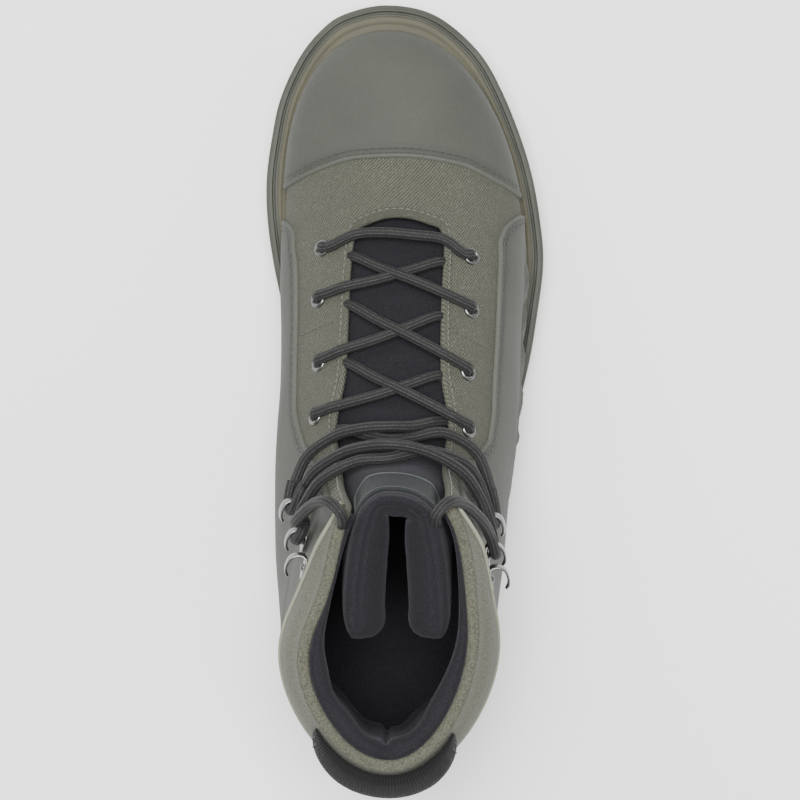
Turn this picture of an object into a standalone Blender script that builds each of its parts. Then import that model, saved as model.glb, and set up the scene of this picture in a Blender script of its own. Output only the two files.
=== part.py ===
"""Wading boot, right foot: felt outsole, rubber midsole, hollow laced upper.

Metres, +X toward the toe, +Y toward the inner side, +Z up, standing on z = 0.
The upper is one function: a foot form and a shaft form, melted together, with
ribs that run from the sole line up to the edge of the throat and the collar.
Every wall, overlay and lining is an offset of that one surface.
"""
import math

import bmesh
import bpy
import numpy as np
from mathutils import Vector

# Main sizes
SOLE_LENGTH = 0.316
BALL_WIDTH = 0.116
HEEL_WIDTH = 0.084
FELT = 0.0105
HEEL_STACK = 0.040
BALL_STACK = 0.0285
TOE_SPRING = 0.010
ARCH_RISE = 0.006
COLLAR_HEIGHT = 0.187
INSTEP_HEIGHT = 0.119

# Walls and clearances
GAP = 0.0003
WALL = 0.0022
OVERLAY = 0.0013
WELT_HEIGHT = 0.0024
WELT_GROOVE = 0.0010
INSOLE = 0.0040
PADDING = 0.0065
TONGUE_THICK = 0.0040

# How finely the forms are cut
RIBS = 25
STEPS = 10

# Outline of the sole, heel to toe: along in shares of SOLE_LENGTH, across in
# shares of HEEL_WIDTH from the heel's axis or of BALL_WIDTH from the foot's axis
HEEL_SET = 0.0064
INNER_OUTLINE = (
    # width, along, across
    ("heel", 0.000, 0.000),
    ("heel", 0.012, 0.205),
    ("heel", 0.045, 0.372),
    ("heel", 0.095, 0.465),
    ("heel", 0.160, 0.500),
    ("heel", 0.240, 0.488),
    ("heel", 0.330, 0.440),
    ("ball", 0.430, 0.355),
    ("ball", 0.530, 0.380),
    ("ball", 0.600, 0.420),
    ("ball", 0.660, 0.455),
    ("ball", 0.720, 0.478),
    ("ball", 0.775, 0.481),
    ("ball", 0.830, 0.461),
    ("ball", 0.880, 0.430),
    ("ball", 0.930, 0.366),
    ("ball", 0.965, 0.291),
    ("ball", 0.988, 0.202),
    ("ball", 1.000, 0.050),
)
OUTER_OUTLINE = (
    ("heel", 0.000, 0.000),
    ("heel", 0.012, -0.205),
    ("heel", 0.045, -0.372),
    ("heel", 0.095, -0.465),
    ("heel", 0.160, -0.500),
    ("heel", 0.240, -0.515),
    ("heel", 0.320, -0.545),
    ("ball", 0.400, -0.378),
    ("ball", 0.480, -0.432),
    ("ball", 0.540, -0.470),
    ("ball", 0.600, -0.497),
    ("ball", 0.655, -0.516),
    ("ball", 0.700, -0.512),
    ("ball", 0.770, -0.482),
    ("ball", 0.830, -0.434),
    ("ball", 0.890, -0.366),
    ("ball", 0.935, -0.294),
    ("ball", 0.972, -0.190),
    ("ball", 0.993, -0.085),
    ("ball", 1.000, 0.050),
)

# Height of the sole's top and of its underside along the foot
SOLE_SIDE = (
    # along, share of the heel's lift, share of the toe spring
    (0.00, 1.00, 0.00),
    (0.20, 1.00, 0.00),
    (0.35, 0.80, 0.00),
    (0.50, 0.38, 0.00),
    (0.62, 0.10, 0.00),
    (0.72, 0.00, 0.00),
    (0.80, 0.00, 0.06),
    (0.90, 0.00, 0.38),
    (1.00, 0.00, 1.00),
)

# The foot form, from behind the ankle to the toe
FOOT = (
    # along, half width and axis in BALL_WIDTH, crown and widest height in INSTEP_HEIGHT
    (0.00, 0.300, 0.040, 0.66, 0.50),
    (0.20, 0.345, 0.035, 0.92, 0.50),
    (0.30, 0.385, 0.030, 1.10, 0.49),
    (0.36, 0.398, 0.027, 1.16, 0.48),
    (0.44, 0.408, 0.013, 1.085, 0.46),
    (0.50, 0.410, 0.002, 1.000, 0.44),
    (0.57, 0.412, -0.004, 0.905, 0.42),
    (0.64, 0.420, -0.010, 0.810, 0.40),
    (0.71, 0.420, -0.012, 0.725, 0.38),
    (0.78, 0.410, 0.000, 0.650, 0.375),
    (0.85, 0.412, 0.018, 0.612, 0.375),
    (0.92, 0.415, 0.035, 0.588, 0.385),
    (1.00, 0.418, 0.052, 0.570, 0.395),
)
TOE_START = 0.720
TOE_END = 0.958
FOOT_ROUND = 2.1
TUCK = 0.0015
LEDGE = 0.0036

# The shaft form, from the heel cup to the collar
SHAFT = (
    # height in COLLAR_HEIGHT, back and front in SOLE_LENGTH, inner and outer half
    # width in HEEL_WIDTH, how much each side narrows from back to front
    (0.190, 0.0215, 0.404, 0.465, 0.420, 0.00, 0.00),
    (0.320, 0.0125, 0.429, 0.500, 0.470, 0.02, 0.00),
    (0.450, 0.0180, 0.444, 0.496, 0.482, 0.04, 0.03),
    (0.580, 0.0300, 0.446, 0.474, 0.466, 0.08, 0.05),
    (0.700, 0.0400, 0.432, 0.442, 0.448, 0.13, 0.08),
    (0.790, 0.0410, 0.420, 0.430, 0.448, 0.20, 0.10),
    (0.860, 0.0430, 0.412, 0.420, 0.446, 0.23, 0.10),
    (0.920, 0.0500, 0.404, 0.385, 0.420, 0.25, 0.08),
    (0.970, 0.0580, 0.397, 0.345, 0.378, 0.27, 0.06),
    (1.020, 0.0640, 0.392, 0.325, 0.358, 0.27, 0.05),
)
SHAFT_AXIS = 0.0040
MELT = 0.010

# The ribs: where each starts along the sole line, spaced evenly round heel and toe
RIB_START = (
    # rib, start along
    (0.000, 0.0000),
    (0.033, 0.0035),
    (0.067, 0.0125),
    (0.100, 0.0280),
    (0.133, 0.0500),
    (0.180, 0.0920),
    (0.240, 0.1650),
    (0.300, 0.2400),
    (0.360, 0.3070),
    (0.420, 0.3750),
    (0.480, 0.4400),
    (0.540, 0.5080),
    (0.610, 0.5900),
    (0.690, 0.6950),
    (0.760, 0.7900),
    (0.800, 0.8450),
    (0.833, 0.8930),
    (0.867, 0.9340),
    (0.900, 0.9650),
    (0.933, 0.9850),
    (0.967, 0.9962),
    (1.000, 1.0000),
)

# Where each rib ends on the edge of collar and throat, and the core it is aimed from
RIB_END = (
    # rib, end along, inner and outer end in BALL_WIDTH, end height, core along, core drop
    (0.000, 0.057, 0.052, 0.052, 1.016, 0.195, 0.000),
    (0.060, 0.066, 0.172, -0.078, 1.014, 0.195, 0.000),
    (0.120, 0.098, 0.276, -0.164, 1.011, 0.195, 0.000),
    (0.180, 0.142, 0.310, -0.207, 1.006, 0.201, 0.000),
    (0.240, 0.208, 0.267, -0.211, 1.001, 0.226, 0.000),
    (0.300, 0.289, 0.211, -0.209, 0.997, 0.264, 0.000),
    (0.360, 0.368, 0.203, -0.194, 0.993, 0.299, 0.000),
    (0.420, 0.396, 0.224, -0.190, 0.882, 0.308, 0.010),
    (0.480, 0.418, 0.241, -0.185, 0.759, 0.340, 0.022),
    (0.540, 0.450, 0.241, -0.177, 0.652, 0.396, 0.036),
    (0.610, 0.522, 0.203, -0.147, 0.599, 0.497, 0.048),
    (0.690, 0.611, 0.198, -0.155, 0.535, 0.591, 0.048),
    (0.760, 0.677, 0.184, -0.166, 0.484, 0.667, 0.044),
    (0.800, 0.700, 0.166, -0.152, 0.471, 0.695, 0.043),
    (0.860, 0.707, 0.120, -0.100, 0.468, 0.715, 0.042),
    (0.910, 0.711, 0.080, -0.062, 0.465, 0.735, 0.041),
    (0.960, 0.714, 0.040, -0.022, 0.462, 0.755, 0.040),
    (1.000, 0.715, 0.009, 0.009, 0.460, 0.765, 0.040),
)
CORE_BACK = 0.195
CORE_FRONT = 0.835
CORE_LIFT = 0.010

# Edges of the overlays, read across the foot or along it
CAP_EDGE = (
    # across in BALL_WIDTH, along in SOLE_LENGTH
    (-0.560, 0.726),
    (-0.440, 0.741),
    (-0.330, 0.760),
    (-0.200, 0.780),
    (0.000, 0.789),
    (0.150, 0.787),
    (0.280, 0.774),
    (0.400, 0.756),
    (0.520, 0.742),
)
CAP_SEAM = 0.0006
PANEL_TOP = (
    # along in SOLE_LENGTH, inner and outer edge in BALL_WIDTH, in plan
    (0.400, 0.352, -0.312),
    (0.470, 0.350, -0.314),
    (0.560, 0.352, -0.325),
    (0.640, 0.354, -0.335),
    (0.680, 0.360, -0.342),
    (0.700, 0.372, -0.356),
    (0.722, 0.425, -0.420),
    (0.742, 0.500, -0.540),
    (0.760, 0.560, -0.600),
)
COLLAR_EDGE = (
    # along in SOLE_LENGTH, height in COLLAR_HEIGHT: where the collar panel meets the side panels
    (0.000, 0.800),
    (0.120, 0.808),
    (0.200, 0.826),
    (0.270, 0.880),
    (0.320, 0.935),
    (0.372, 1.005),
    (0.440, 1.120),
)
COLLAR_MEET = (0.352, 0.972)
EYESTAY_EDGE = (
    # along, height: the side panels' front edge, a strip behind the throat's edge
    (0.362, 0.880),
    (0.380, 0.760),
    (0.402, 0.650),
    (0.432, 0.560),
)
SEAM = 0.0005

COLOURS = {
    "felt": (0.33, 0.29, 0.22),
    "rubber": (0.085, 0.100, 0.075),
    "welt": (0.215, 0.210, 0.140),
    "textile": (0.155, 0.160, 0.130),
    "smooth": (0.215, 0.220, 0.195),
    "rough": (0.175, 0.180, 0.150),
    "lining": (0.022, 0.020, 0.023),
    "webbing": (0.030, 0.030, 0.031),
    "lace": (0.018, 0.018, 0.018),
    "nickel": (0.62, 0.61, 0.58),
}


def read(table, column, at):
    """A smooth curve through one column of a table, without overshoot."""
    x = np.array([row[0] for row in table], float)
    y = np.array([row[column] for row in table], float)
    steps = np.diff(x)
    slopes = np.diff(y) / steps
    ends = np.concatenate([[slopes[0]], slopes, [slopes[-1]]])
    before, after = ends[:-1], ends[1:]
    same = before * after > 0
    total = np.where(same, before + after, 1.0)
    tangent = np.where(same, 2 * before * after / total, 0.0)
    at = np.clip(np.asarray(at, float), x[0], x[-1])
    i = np.clip(np.searchsorted(x, at) - 1, 0, len(steps) - 1)
    h = steps[i]
    t = (at - x[i]) / h
    return (
        y[i] * (1 + 2 * t) * (1 - t) ** 2
        + h * tangent[i] * t * (1 - t) ** 2
        + y[i + 1] * t * t * (3 - 2 * t)
        + h * tangent[i + 1] * t * t * (t - 1)
    )


def outline_points(rows):
    """The plan points of one side of the sole, heel to toe, closely spaced."""
    scale = {"heel": (HEEL_WIDTH, HEEL_SET), "ball": (BALL_WIDTH, 0.0)}
    points = [
        (along * SOLE_LENGTH, across * scale[width][0] + scale[width][1])
        for width, along, across in rows
    ]
    points = np.array(points)
    mirror = np.array((1.0, -1.0))
    before = points[0] + (points[1] - points[0]) * mirror
    after = points[-1] + (points[-2] - points[-1]) * mirror
    last = points[-1]
    points = np.vstack([before, points, after])
    dense = []
    for a, b, c, d in zip(points, points[1:], points[2:], points[3:]):
        for t in np.linspace(0, 1, 12, endpoint=False):
            straight = 2 * b + (c - a) * t
            bend = (2 * a - 5 * b + 4 * c - d) * t * t + (3 * b - 3 * c + d - a) * t**3
            dense.append(0.5 * (straight + bend))
    dense.append(last)
    return np.array(dense)


INNER_PATH = outline_points(INNER_OUTLINE)
OUTER_PATH = outline_points(OUTER_OUTLINE)
WIDTH_SHIFT = -(INNER_PATH[:, 1].max() + OUTER_PATH[:, 1].min()) / 2


def place(points):
    """From heel-end coordinates on the foot's axis to the boot's own frame."""
    return np.asarray(points) + (-SOLE_LENGTH / 2, WIDTH_SHIFT, 0.0)


def sole_edge(along, inner):
    """How far across the sole's edge lies on one side."""
    path = INNER_PATH if inner else OUTER_PATH
    return np.interp(along, path[:, 0], path[:, 1])


def sole_top(along):
    share = np.asarray(along) / SOLE_LENGTH
    lift = (HEEL_STACK - BALL_STACK) * read(SOLE_SIDE, 1, share)
    return BALL_STACK + lift + TOE_SPRING * read(SOLE_SIDE, 2, share)


def sole_under(along):
    return TOE_SPRING * read(SOLE_SIDE, 2, np.asarray(along) / SOLE_LENGTH)


def form(p):
    """How far a point lies outside the upper's form, near enough; negative inside."""
    x, y, z = p[..., 0], p[..., 1], p[..., 2]
    share = x / SOLE_LENGTH
    half = read(FOOT, 1, share) * BALL_WIDTH
    axis = read(FOOT, 2, share) * BALL_WIDTH
    crown = read(FOOT, 3, share) * INSTEP_HEIGHT
    widest = read(FOOT, 4, share) * INSTEP_HEIGHT
    toe = np.clip((share - TOE_START) / (TOE_END - TOE_START), 0, None) ** 2.0
    heel = np.clip((0.28 - share) / 0.25, 0, None) ** 2.0
    low = np.clip((widest - z) / np.maximum(widest - sole_top(x), 0.004), 0, 1.2)
    straight = np.clip(share, 0.2, TOE_START) * SOLE_LENGTH
    inner = sole_edge(straight, True) - axis
    outer = axis - sole_edge(straight, False)
    edge = np.minimum(half - TUCK, np.where(y > axis, inner, outer) - LEDGE)
    side = np.abs(y - axis) / (half + (edge - half) * low**2)
    high = np.clip((z - widest) / (crown - widest), 0, None)
    sharp = FOOT_ROUND
    value = side**sharp + high**2.0 + toe + heel
    foot = (value ** (1 / sharp) - 1) * half

    level = z / COLLAR_HEIGHT
    back = read(SHAFT, 1, level) * SOLE_LENGTH
    front = read(SHAFT, 2, level) * SOLE_LENGTH
    middle = (back + front) / 2
    u = (x - middle) / ((front - back) / 2)
    v = y - SHAFT_AXIS
    slim = np.tanh(3.0 * np.clip(u, -1.5, 1.5))
    inner = read(SHAFT, 3, level) * HEEL_WIDTH * (1 - read(SHAFT, 5, level) * slim)
    outer = read(SHAFT, 4, level) * HEEL_WIDTH * (1 - read(SHAFT, 6, level) * slim)
    width = np.where(v > 0, inner, outer)
    pinch = np.clip((level - 0.50) / 0.36, 0, 1)
    power = np.where(u > 0, 3.0, 2.2 - 0.5 * pinch)
    curl = np.where(u > 0, 2.3, 2.3 - 0.3 * pinch)
    value = np.abs(u) ** power + np.abs(v / width) ** curl
    shaft = (value ** (1 / curl) - 1) * HEEL_WIDTH * 0.5

    near = np.clip(0.5 + 0.5 * (shaft - foot) / MELT, 0, 1)
    return shaft * (1 - near) + foot * near - MELT * near * (1 - near)


def cast(core, aim):
    """Where rays from the core through the aim leave the form."""
    ray = aim - core
    ray = ray / np.linalg.norm(ray, axis=-1, keepdims=True)
    low = np.zeros(ray.shape[:-1])
    high = np.full(ray.shape[:-1], 0.16)
    for _ in range(36):
        middle = (low + high) / 2
        inside = form(core + ray * middle[..., None]) < 0
        low = np.where(inside, middle, low)
        high = np.where(inside, high, middle)
    return core + ray * low[..., None]


def normals(points):
    """The form's outward direction at these points."""
    step = 0.0004
    slope = [form(points + d) - form(points - d) for d in np.eye(3) * step]
    slope = np.stack(slope, axis=-1)
    return slope / np.linalg.norm(slope, axis=-1, keepdims=True)


def sunk(points, depth):
    """Pushes points that lie less than this depth inside the form down to it."""
    step = 0.0004
    for _ in range(5):
        slope = [form(points + d) - form(points - d) for d in np.eye(3) * step]
        slope = np.stack(slope, axis=-1) / (2 * step)
        size = np.linalg.norm(slope, axis=-1)
        excess = np.clip(form(points) / size + depth, 0, 0.02)
        points = points - slope * (excess / size)[:, None]
    return points


def rib_ends(rib, inner):
    """Start on the sole line, end on the opening, and the two cores of these ribs."""
    along = read(RIB_START, 1, rib) * SOLE_LENGTH
    start = np.stack([along, sole_edge(along, inner), sole_top(along)], axis=-1)
    across = read(RIB_END, 2 if inner else 3, rib) * BALL_WIDTH
    end = np.stack(
        [read(RIB_END, 1, rib) * SOLE_LENGTH, across, read(RIB_END, 4, rib) * COLLAR_HEIGHT],
        axis=-1,
    )
    core_x = np.clip(start[:, 0], CORE_BACK * SOLE_LENGTH, CORE_FRONT * SOLE_LENGTH)
    axis = SHAFT_AXIS * np.clip(2 - core_x / SOLE_LENGTH / 0.3, 0, 1)
    low = np.stack([core_x, axis, sole_top(core_x)], axis=-1)
    core_end = read(RIB_END, 5, rib) * SOLE_LENGTH
    axis = SHAFT_AXIS * np.clip(2 - core_end / SOLE_LENGTH / 0.3, 0, 1)
    high = np.stack([core_end, axis, end[:, 2] - read(RIB_END, 6, rib)], axis=-1)
    return start, end, low, high


def sole_line(rib, inner, lift):
    """The form's outline at a height over the sole's top."""
    start, _, low, _ = rib_ends(rib, inner)
    point = start
    for _ in range(3):
        level = sole_top(point[:, :1]) + lift
        aim = np.concatenate([start[:, :2], level], axis=1)
        core = np.concatenate([low[:, :2], level], axis=1)
        point = cast(core, aim)
    return point


def surface(rib, inner, steps):
    """Points of the form along ribs: one row for each step from sole line to opening."""
    start, end, low, high = rib_ends(rib, inner)
    foot = sole_line(rib, inner, GAP)
    top = cast(high, end)
    rows = [foot]
    for t in steps[1:]:
        aim = foot + (top - foot) * t
        core = low + (high - low) * t
        core[:, 2] += CORE_LIFT * (1 - t)
        rows.append(cast(core, aim))
    return np.array(rows)


RIB_SHARES = np.linspace(0, 1, RIBS + 1)
STEP_SHARES = np.linspace(0, 1, STEPS + 1)


def both_sides(function):
    """One closed ring from the heel up the inner side to the toe and back on the outer side."""
    inner = function(RIB_SHARES, True)
    outer = function(RIB_SHARES, False)
    return np.concatenate([inner, outer[..., -2:0:-1, :]], axis=-2)


SKIN = both_sides(lambda rib, inner: surface(rib, inner, STEP_SHARES))
SKIN_OUT = normals(SKIN)


def skin(offset):
    """The form moved in or out, with its lowest row kept at the sole's top."""
    moved = SKIN + SKIN_OUT * offset
    flat = SKIN_OUT[0] * (1.0, 1.0, 0.0)
    flat = flat / np.linalg.norm(flat, axis=-1, keepdims=True)
    moved[0] = SKIN[0] + flat * offset
    moved[0][:, 2] = sole_top(moved[0][:, 0]) + GAP
    return moved


def material(name):
    found = bpy.data.materials.get(name)
    if found:
        return found
    made = bpy.data.materials.new(name)
    made.use_nodes = True
    shader = made.node_tree.nodes["Principled BSDF"]
    shader.inputs["Base Color"].default_value = (*COLOURS[name], 1.0)
    shader.inputs["Roughness"].default_value = 0.3 if name == "nickel" else 0.75
    shader.inputs["Metallic"].default_value = 1.0 if name == "nickel" else 0.0
    return made


def add_mesh(name, look, verts, faces, parent):
    """A closed mesh object with outward faces, in the boot's own frame."""
    mesh = bpy.data.meshes.new(name)
    mesh.from_pydata([tuple(v) for v in place(verts)], [], faces)
    work = bmesh.new()
    work.from_mesh(mesh)
    bmesh.ops.remove_doubles(work, verts=work.verts, dist=1e-6)
    bmesh.ops.recalc_face_normals(work, faces=work.faces)
    work.to_mesh(mesh)
    work.free()
    mesh.shade_smooth()
    mesh.set_sharp_from_angle(angle=math.radians(35))
    made = bpy.data.objects.new(name, mesh)
    if look:
        mesh.materials.append(material(look))
    parent.objects.link(made)
    return made


def loft(name, look, rows, parent, wrap_rows=False, wrap_points=True, caps="none"):
    """Skins rows of points. Caps are none, plain faces, or cross strips between the two sides.

    Every quad is split the same way, and the other way on the way back, so that two
    walls made from the same ribs and steps stay parallel.
    """
    rows = np.asarray(rows)
    count, width = rows.shape[:2]
    faces = []
    for r in range(count if wrap_rows else count - 1):
        for p in range(width if wrap_points else width - 1):
            q, s = (p + 1) % width, (r + 1) % count
            a, b, c, d = r * width + p, r * width + q, s * width + q, s * width + p
            if wrap_rows and r >= count // 2:
                faces += [(a, b, d), (b, c, d)]
            else:
                faces += [(a, b, c), (a, c, d)]
    if caps == "plain":
        faces.append(tuple(range(width)))
        faces.append(tuple(range((count - 1) * width, count * width)))
    if caps == "strips":
        for base in (0, (count - 1) * width):
            half = width // 2
            for p in range(half):
                a, b = p, p + 1
                c, d = (width - b) % width, (width - a) % width
                corners = [base + k for k in dict.fromkeys((a, b, c, d))]
                if len(corners) > 2:
                    faces.append(tuple(corners))
    return add_mesh(name, look, rows.reshape(-1, 3), faces, parent)


def cutter(name, verts, faces, parent):
    made = add_mesh(name, None, verts, faces, parent)
    made.hide_render = True
    made.display_type = "WIRE"
    return made


def box_cutter(name, low, high, parent):
    """A plain box between two corners, in heel-end coordinates."""
    mesh = bpy.data.meshes.new(name)
    work = bmesh.new()
    bmesh.ops.create_cube(work, size=1.0)
    low, high = place(low), place(high)
    for vert in work.verts:
        vert.co = Vector([(a + b) / 2 + (b - a) * c for a, b, c in zip(low, high, vert.co)])
    work.to_mesh(mesh)
    work.free()
    made = bpy.data.objects.new(name, mesh)
    made.hide_render = True
    made.display_type = "WIRE"
    parent.objects.link(made)
    return made


def cut(target, tool, operation="DIFFERENCE"):
    change = target.modifiers.new(tool.name, "BOOLEAN")
    change.operation = operation
    change.solver = "EXACT"
    change.object = tool


# The sole's rings share the ribs' places along the foot, and run a little finer
SOLE_PLACES = read(RIB_START, 1, np.linspace(0, 1, RIBS + 7)) * SOLE_LENGTH


def sole_ring(inset):
    """The sole's outline as one closed ring, drawn in by an amount."""
    inner = np.stack([SOLE_PLACES, sole_edge(SOLE_PLACES, True)], axis=-1)
    outer = np.stack([SOLE_PLACES, sole_edge(SOLE_PLACES, False)], axis=-1)
    ring = np.concatenate([inner, outer[-2:0:-1]])
    run = np.roll(ring, -1, axis=0) - np.roll(ring, 1, axis=0)
    inward = np.stack([run[:, 1], -run[:, 0]], axis=-1)
    inward /= np.linalg.norm(inward, axis=1, keepdims=True)
    return ring + inward * np.asarray(inset).reshape(-1, 1)


def at_height(ring, height):
    return np.concatenate([ring, np.asarray(height).reshape(-1, 1)], axis=1)


# Bands of the midsole's side, from the felt up
SIDE_BANDS = (
    # share of the height, inset
    (0.00, 0.0012),
    (0.06, 0.0003),
    (0.36, 0.0003),
    (0.41, 0.0014),
    (0.49, 0.0014),
    (0.54, 0.0000),
    (0.93, 0.0000),
    (1.00, 0.0009),
)
RIB_DEPTH = 0.0008
RIBBED = (0.45, 0.99)
HEEL_BREAST = 0.285
FOREFOOT_START = 0.405
RIM_WIDTH = 0.0032
# The rib that the welt starts from, inner and outer: behind it the rim has no room for it
WELT_START = (0.66, 0.58)


def build_sole(parts, cutters):
    ring = sole_ring(0)
    share = ring[:, 0] / SOLE_LENGTH
    foot = ring[:, 0]
    # The felt pads are one slab, cut to heel and forefoot
    for name, start, end in (
        ("felt_heel", -0.1, HEEL_BREAST),
        ("felt_forefoot", FOREFOOT_START, 1.1),
    ):
        rows = []
        for inset, up in ((0.0018, 0.0), (0.0006, 0.0010), (0.0006, FELT)):
            edge = sole_ring(inset)
            rows.append(at_height(edge, sole_under(edge[:, 0]) + up))
        felt = loft(name, "felt", rows, parts, caps="strips")
        tool = box_cutter(
            name + "_span",
            (start * SOLE_LENGTH, -BALL_WIDTH, -0.02),
            (end * SOLE_LENGTH, BALL_WIDTH, 0.06),
            cutters,
        )
        cut(felt, tool, "INTERSECT")

    # The midsole: banded side, ribs low down, a rim, a groove and a seat for the upper
    under = sole_under(foot) + FELT + GAP
    over = sole_top(foot)
    ribbed = (share > RIBBED[0]) & (share < RIBBED[1])
    odd = np.arange(len(ring)) % 2 == 1
    rows = []
    for level, inset in SIDE_BANDS:
        low_band = 0.03 < level < 0.40
        depth = inset + np.where(ribbed & odd & low_band, RIB_DEPTH, 0.0)
        rows.append(at_height(sole_ring(depth), under + (over - under) * level))
    for inset, drop in ((0.0, 0.0), (0.3, WELT_GROOVE), (1.0, WELT_GROOVE), (1.3, 0.0)):
        edge = sole_ring(RIM_WIDTH + inset * WELT_GROOVE)
        rows.append(at_height(edge, sole_top(edge[:, 0]) - drop))
    midsole = loft("midsole", "rubber", rows, parts, caps="strips")

    # The arch: the rubber is hollowed upward between heel breast and forefoot
    start, end = HEEL_BREAST * SOLE_LENGTH, FOREFOOT_START * SOLE_LENGTH
    arc = [(start, -0.01), (start + 0.0015, FELT + ARCH_RISE * 0.75)]
    for t in np.linspace(0.15, 0.85, 6):
        arc.append((start + (end - start) * t, FELT + ARCH_RISE * (0.8 + 0.8 * t * (1 - t))))
    arc += [(end - 0.004, FELT + ARCH_RISE * 0.6), (end, FELT * 0.9), (end, -0.01)]
    verts = [(x, y, z) for y in (-BALL_WIDTH, BALL_WIDTH) for x, z in arc]
    n = len(arc)
    faces = [tuple(range(n)), tuple(range(n, 2 * n))]
    faces += [(k, (k + 1) % n, n + (k + 1) % n, n + k) for k in range(n)]
    cut(midsole, cutter("arch_space", verts, faces, cutters))


def build_welt(parts):
    """A strip from waist to waist round the toe, between the overlays and the rim's groove."""
    inset = RIM_WIDTH + 1.3 * WELT_GROOVE + GAP

    def edge(rib, inner, lift, outside):
        ring = sole_line(rib, inner, lift)
        start, _, low, _ = rib_ends(rib, inner)
        ray = (start - low) * (1.0, 1.0, 0.0)
        ray /= np.linalg.norm(ray, axis=-1, keepdims=True)
        out = normals(ring) * (1.0, 1.0, 0.0)
        out /= np.linalg.norm(out, axis=-1, keepdims=True)
        if outside is None:
            moved = ring + out * (OVERLAY + 3 * GAP)
        else:
            moved = start - ray * (inset + outside)
        moved[:, 2] = sole_top(moved[:, 0]) + lift
        return moved

    profile = (
        (GAP, None),
        (WELT_HEIGHT, None),
        (WELT_HEIGHT, 0.0008),
        (WELT_HEIGHT - 0.0008, 0.0),
        (GAP, 0.0),
    )
    front = [RIB_SHARES[RIB_SHARES > first] for first in WELT_START]
    inner = [edge(front[0], True, *corner) for corner in profile]
    outer = [edge(front[1], False, *corner) for corner in profile]
    rows = np.concatenate([np.stack(inner, axis=1), np.stack(outer, axis=1)[-2::-1]])
    return loft("welt", "welt", rows, parts, caps="plain")


def build_upper(parts):
    outside = skin(0.0)
    inside = skin(-WALL)
    rows = list(outside) + list(inside[::-1])
    return loft("upper", "textile", rows, parts, wrap_rows=True)


def build_insole(parts):
    rows = []
    for inset, up in ((0.0010, 0.0), (0.0, 0.0010), (0.0, INSOLE - 0.0008), (0.0016, INSOLE)):
        ring = skin(-WALL - GAP - 0.0006 - inset)[0]
        ring[:, 2] = sole_top(ring[:, 0]) + GAP + up
        rows.append(ring)
    return loft("insole", "lining", rows, parts, caps="strips")


def height_over(along, across):
    """The form's height over plan points, or the sole's top where it doesn't reach."""
    low = np.stack([along, across, sole_top(along) - 0.002], axis=-1)
    return cast(low, low + (0.0, 0.0, 1.0))[..., 2]


def settled(points, lift):
    """Points moved straight onto the form, then out by a lift."""
    points = np.asarray(points, float)
    step = 0.0004
    for _ in range(8):
        slope = [form(points + d) - form(points - d) for d in np.eye(3) * step]
        slope = np.stack(slope, axis=-1) / (2 * step)
        size = (slope**2).sum(axis=-1)
        points = points - slope * (form(points) / size)[..., None]
    return points + normals(points) * np.asarray(lift).reshape(-1, 1)


def prism(name, outline, axis, low, high, cutters):
    """A cutter: a flat outline pushed along Z (plan) or along Y (side view)."""
    verts = []
    for level in (low, high):
        for u, v in outline:
            verts.append((u, v, level) if axis == "Z" else (u, level, v))
    n = len(outline)
    faces = [tuple(range(n)), tuple(range(n, 2 * n))]
    faces += [(k, (k + 1) % n, n + (k + 1) % n, n + k) for k in range(n)]
    return cutter(name, verts, faces, cutters)


def cap_outline(shift):
    """Plan outline of everything ahead of the toe cap's edge."""
    across = np.linspace(-0.60, 0.60, 25)
    along = read(CAP_EDGE, 1, across) * SOLE_LENGTH + shift
    edge = list(zip(along, across * BALL_WIDTH))
    far = SOLE_LENGTH * 1.1
    return edge + [(far, 0.60 * BALL_WIDTH), (far, -0.60 * BALL_WIDTH)]


def panel_outline(inner):
    """Side view of a side panel: under the collar panel, behind the eyestay, under the vamp's edge."""
    back = np.linspace(-0.05, COLLAR_MEET[0], 10)
    top = [(u * SOLE_LENGTH, read(COLLAR_EDGE, 1, u) * COLLAR_HEIGHT - SEAM) for u in back]
    front = [(u * SOLE_LENGTH, v * COLLAR_HEIGHT) for u, v in EYESTAY_EDGE]
    along = np.linspace(PANEL_TOP[1][0], PANEL_TOP[-1][0], 22) * SOLE_LENGTH
    across = read(PANEL_TOP, 1 if inner else 2, along / SOLE_LENGTH) * BALL_WIDTH
    low = list(zip(along, height_over(along, across)))
    return top + front + low + [(along[-1] + 0.02, 0.01), (-0.03, 0.01)]


def overlay_shell(name, look, parts, thick):
    rows = list(skin(GAP + thick)) + list(skin(GAP)[::-1])
    return loft(name, look, rows, parts, wrap_rows=True)


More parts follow.
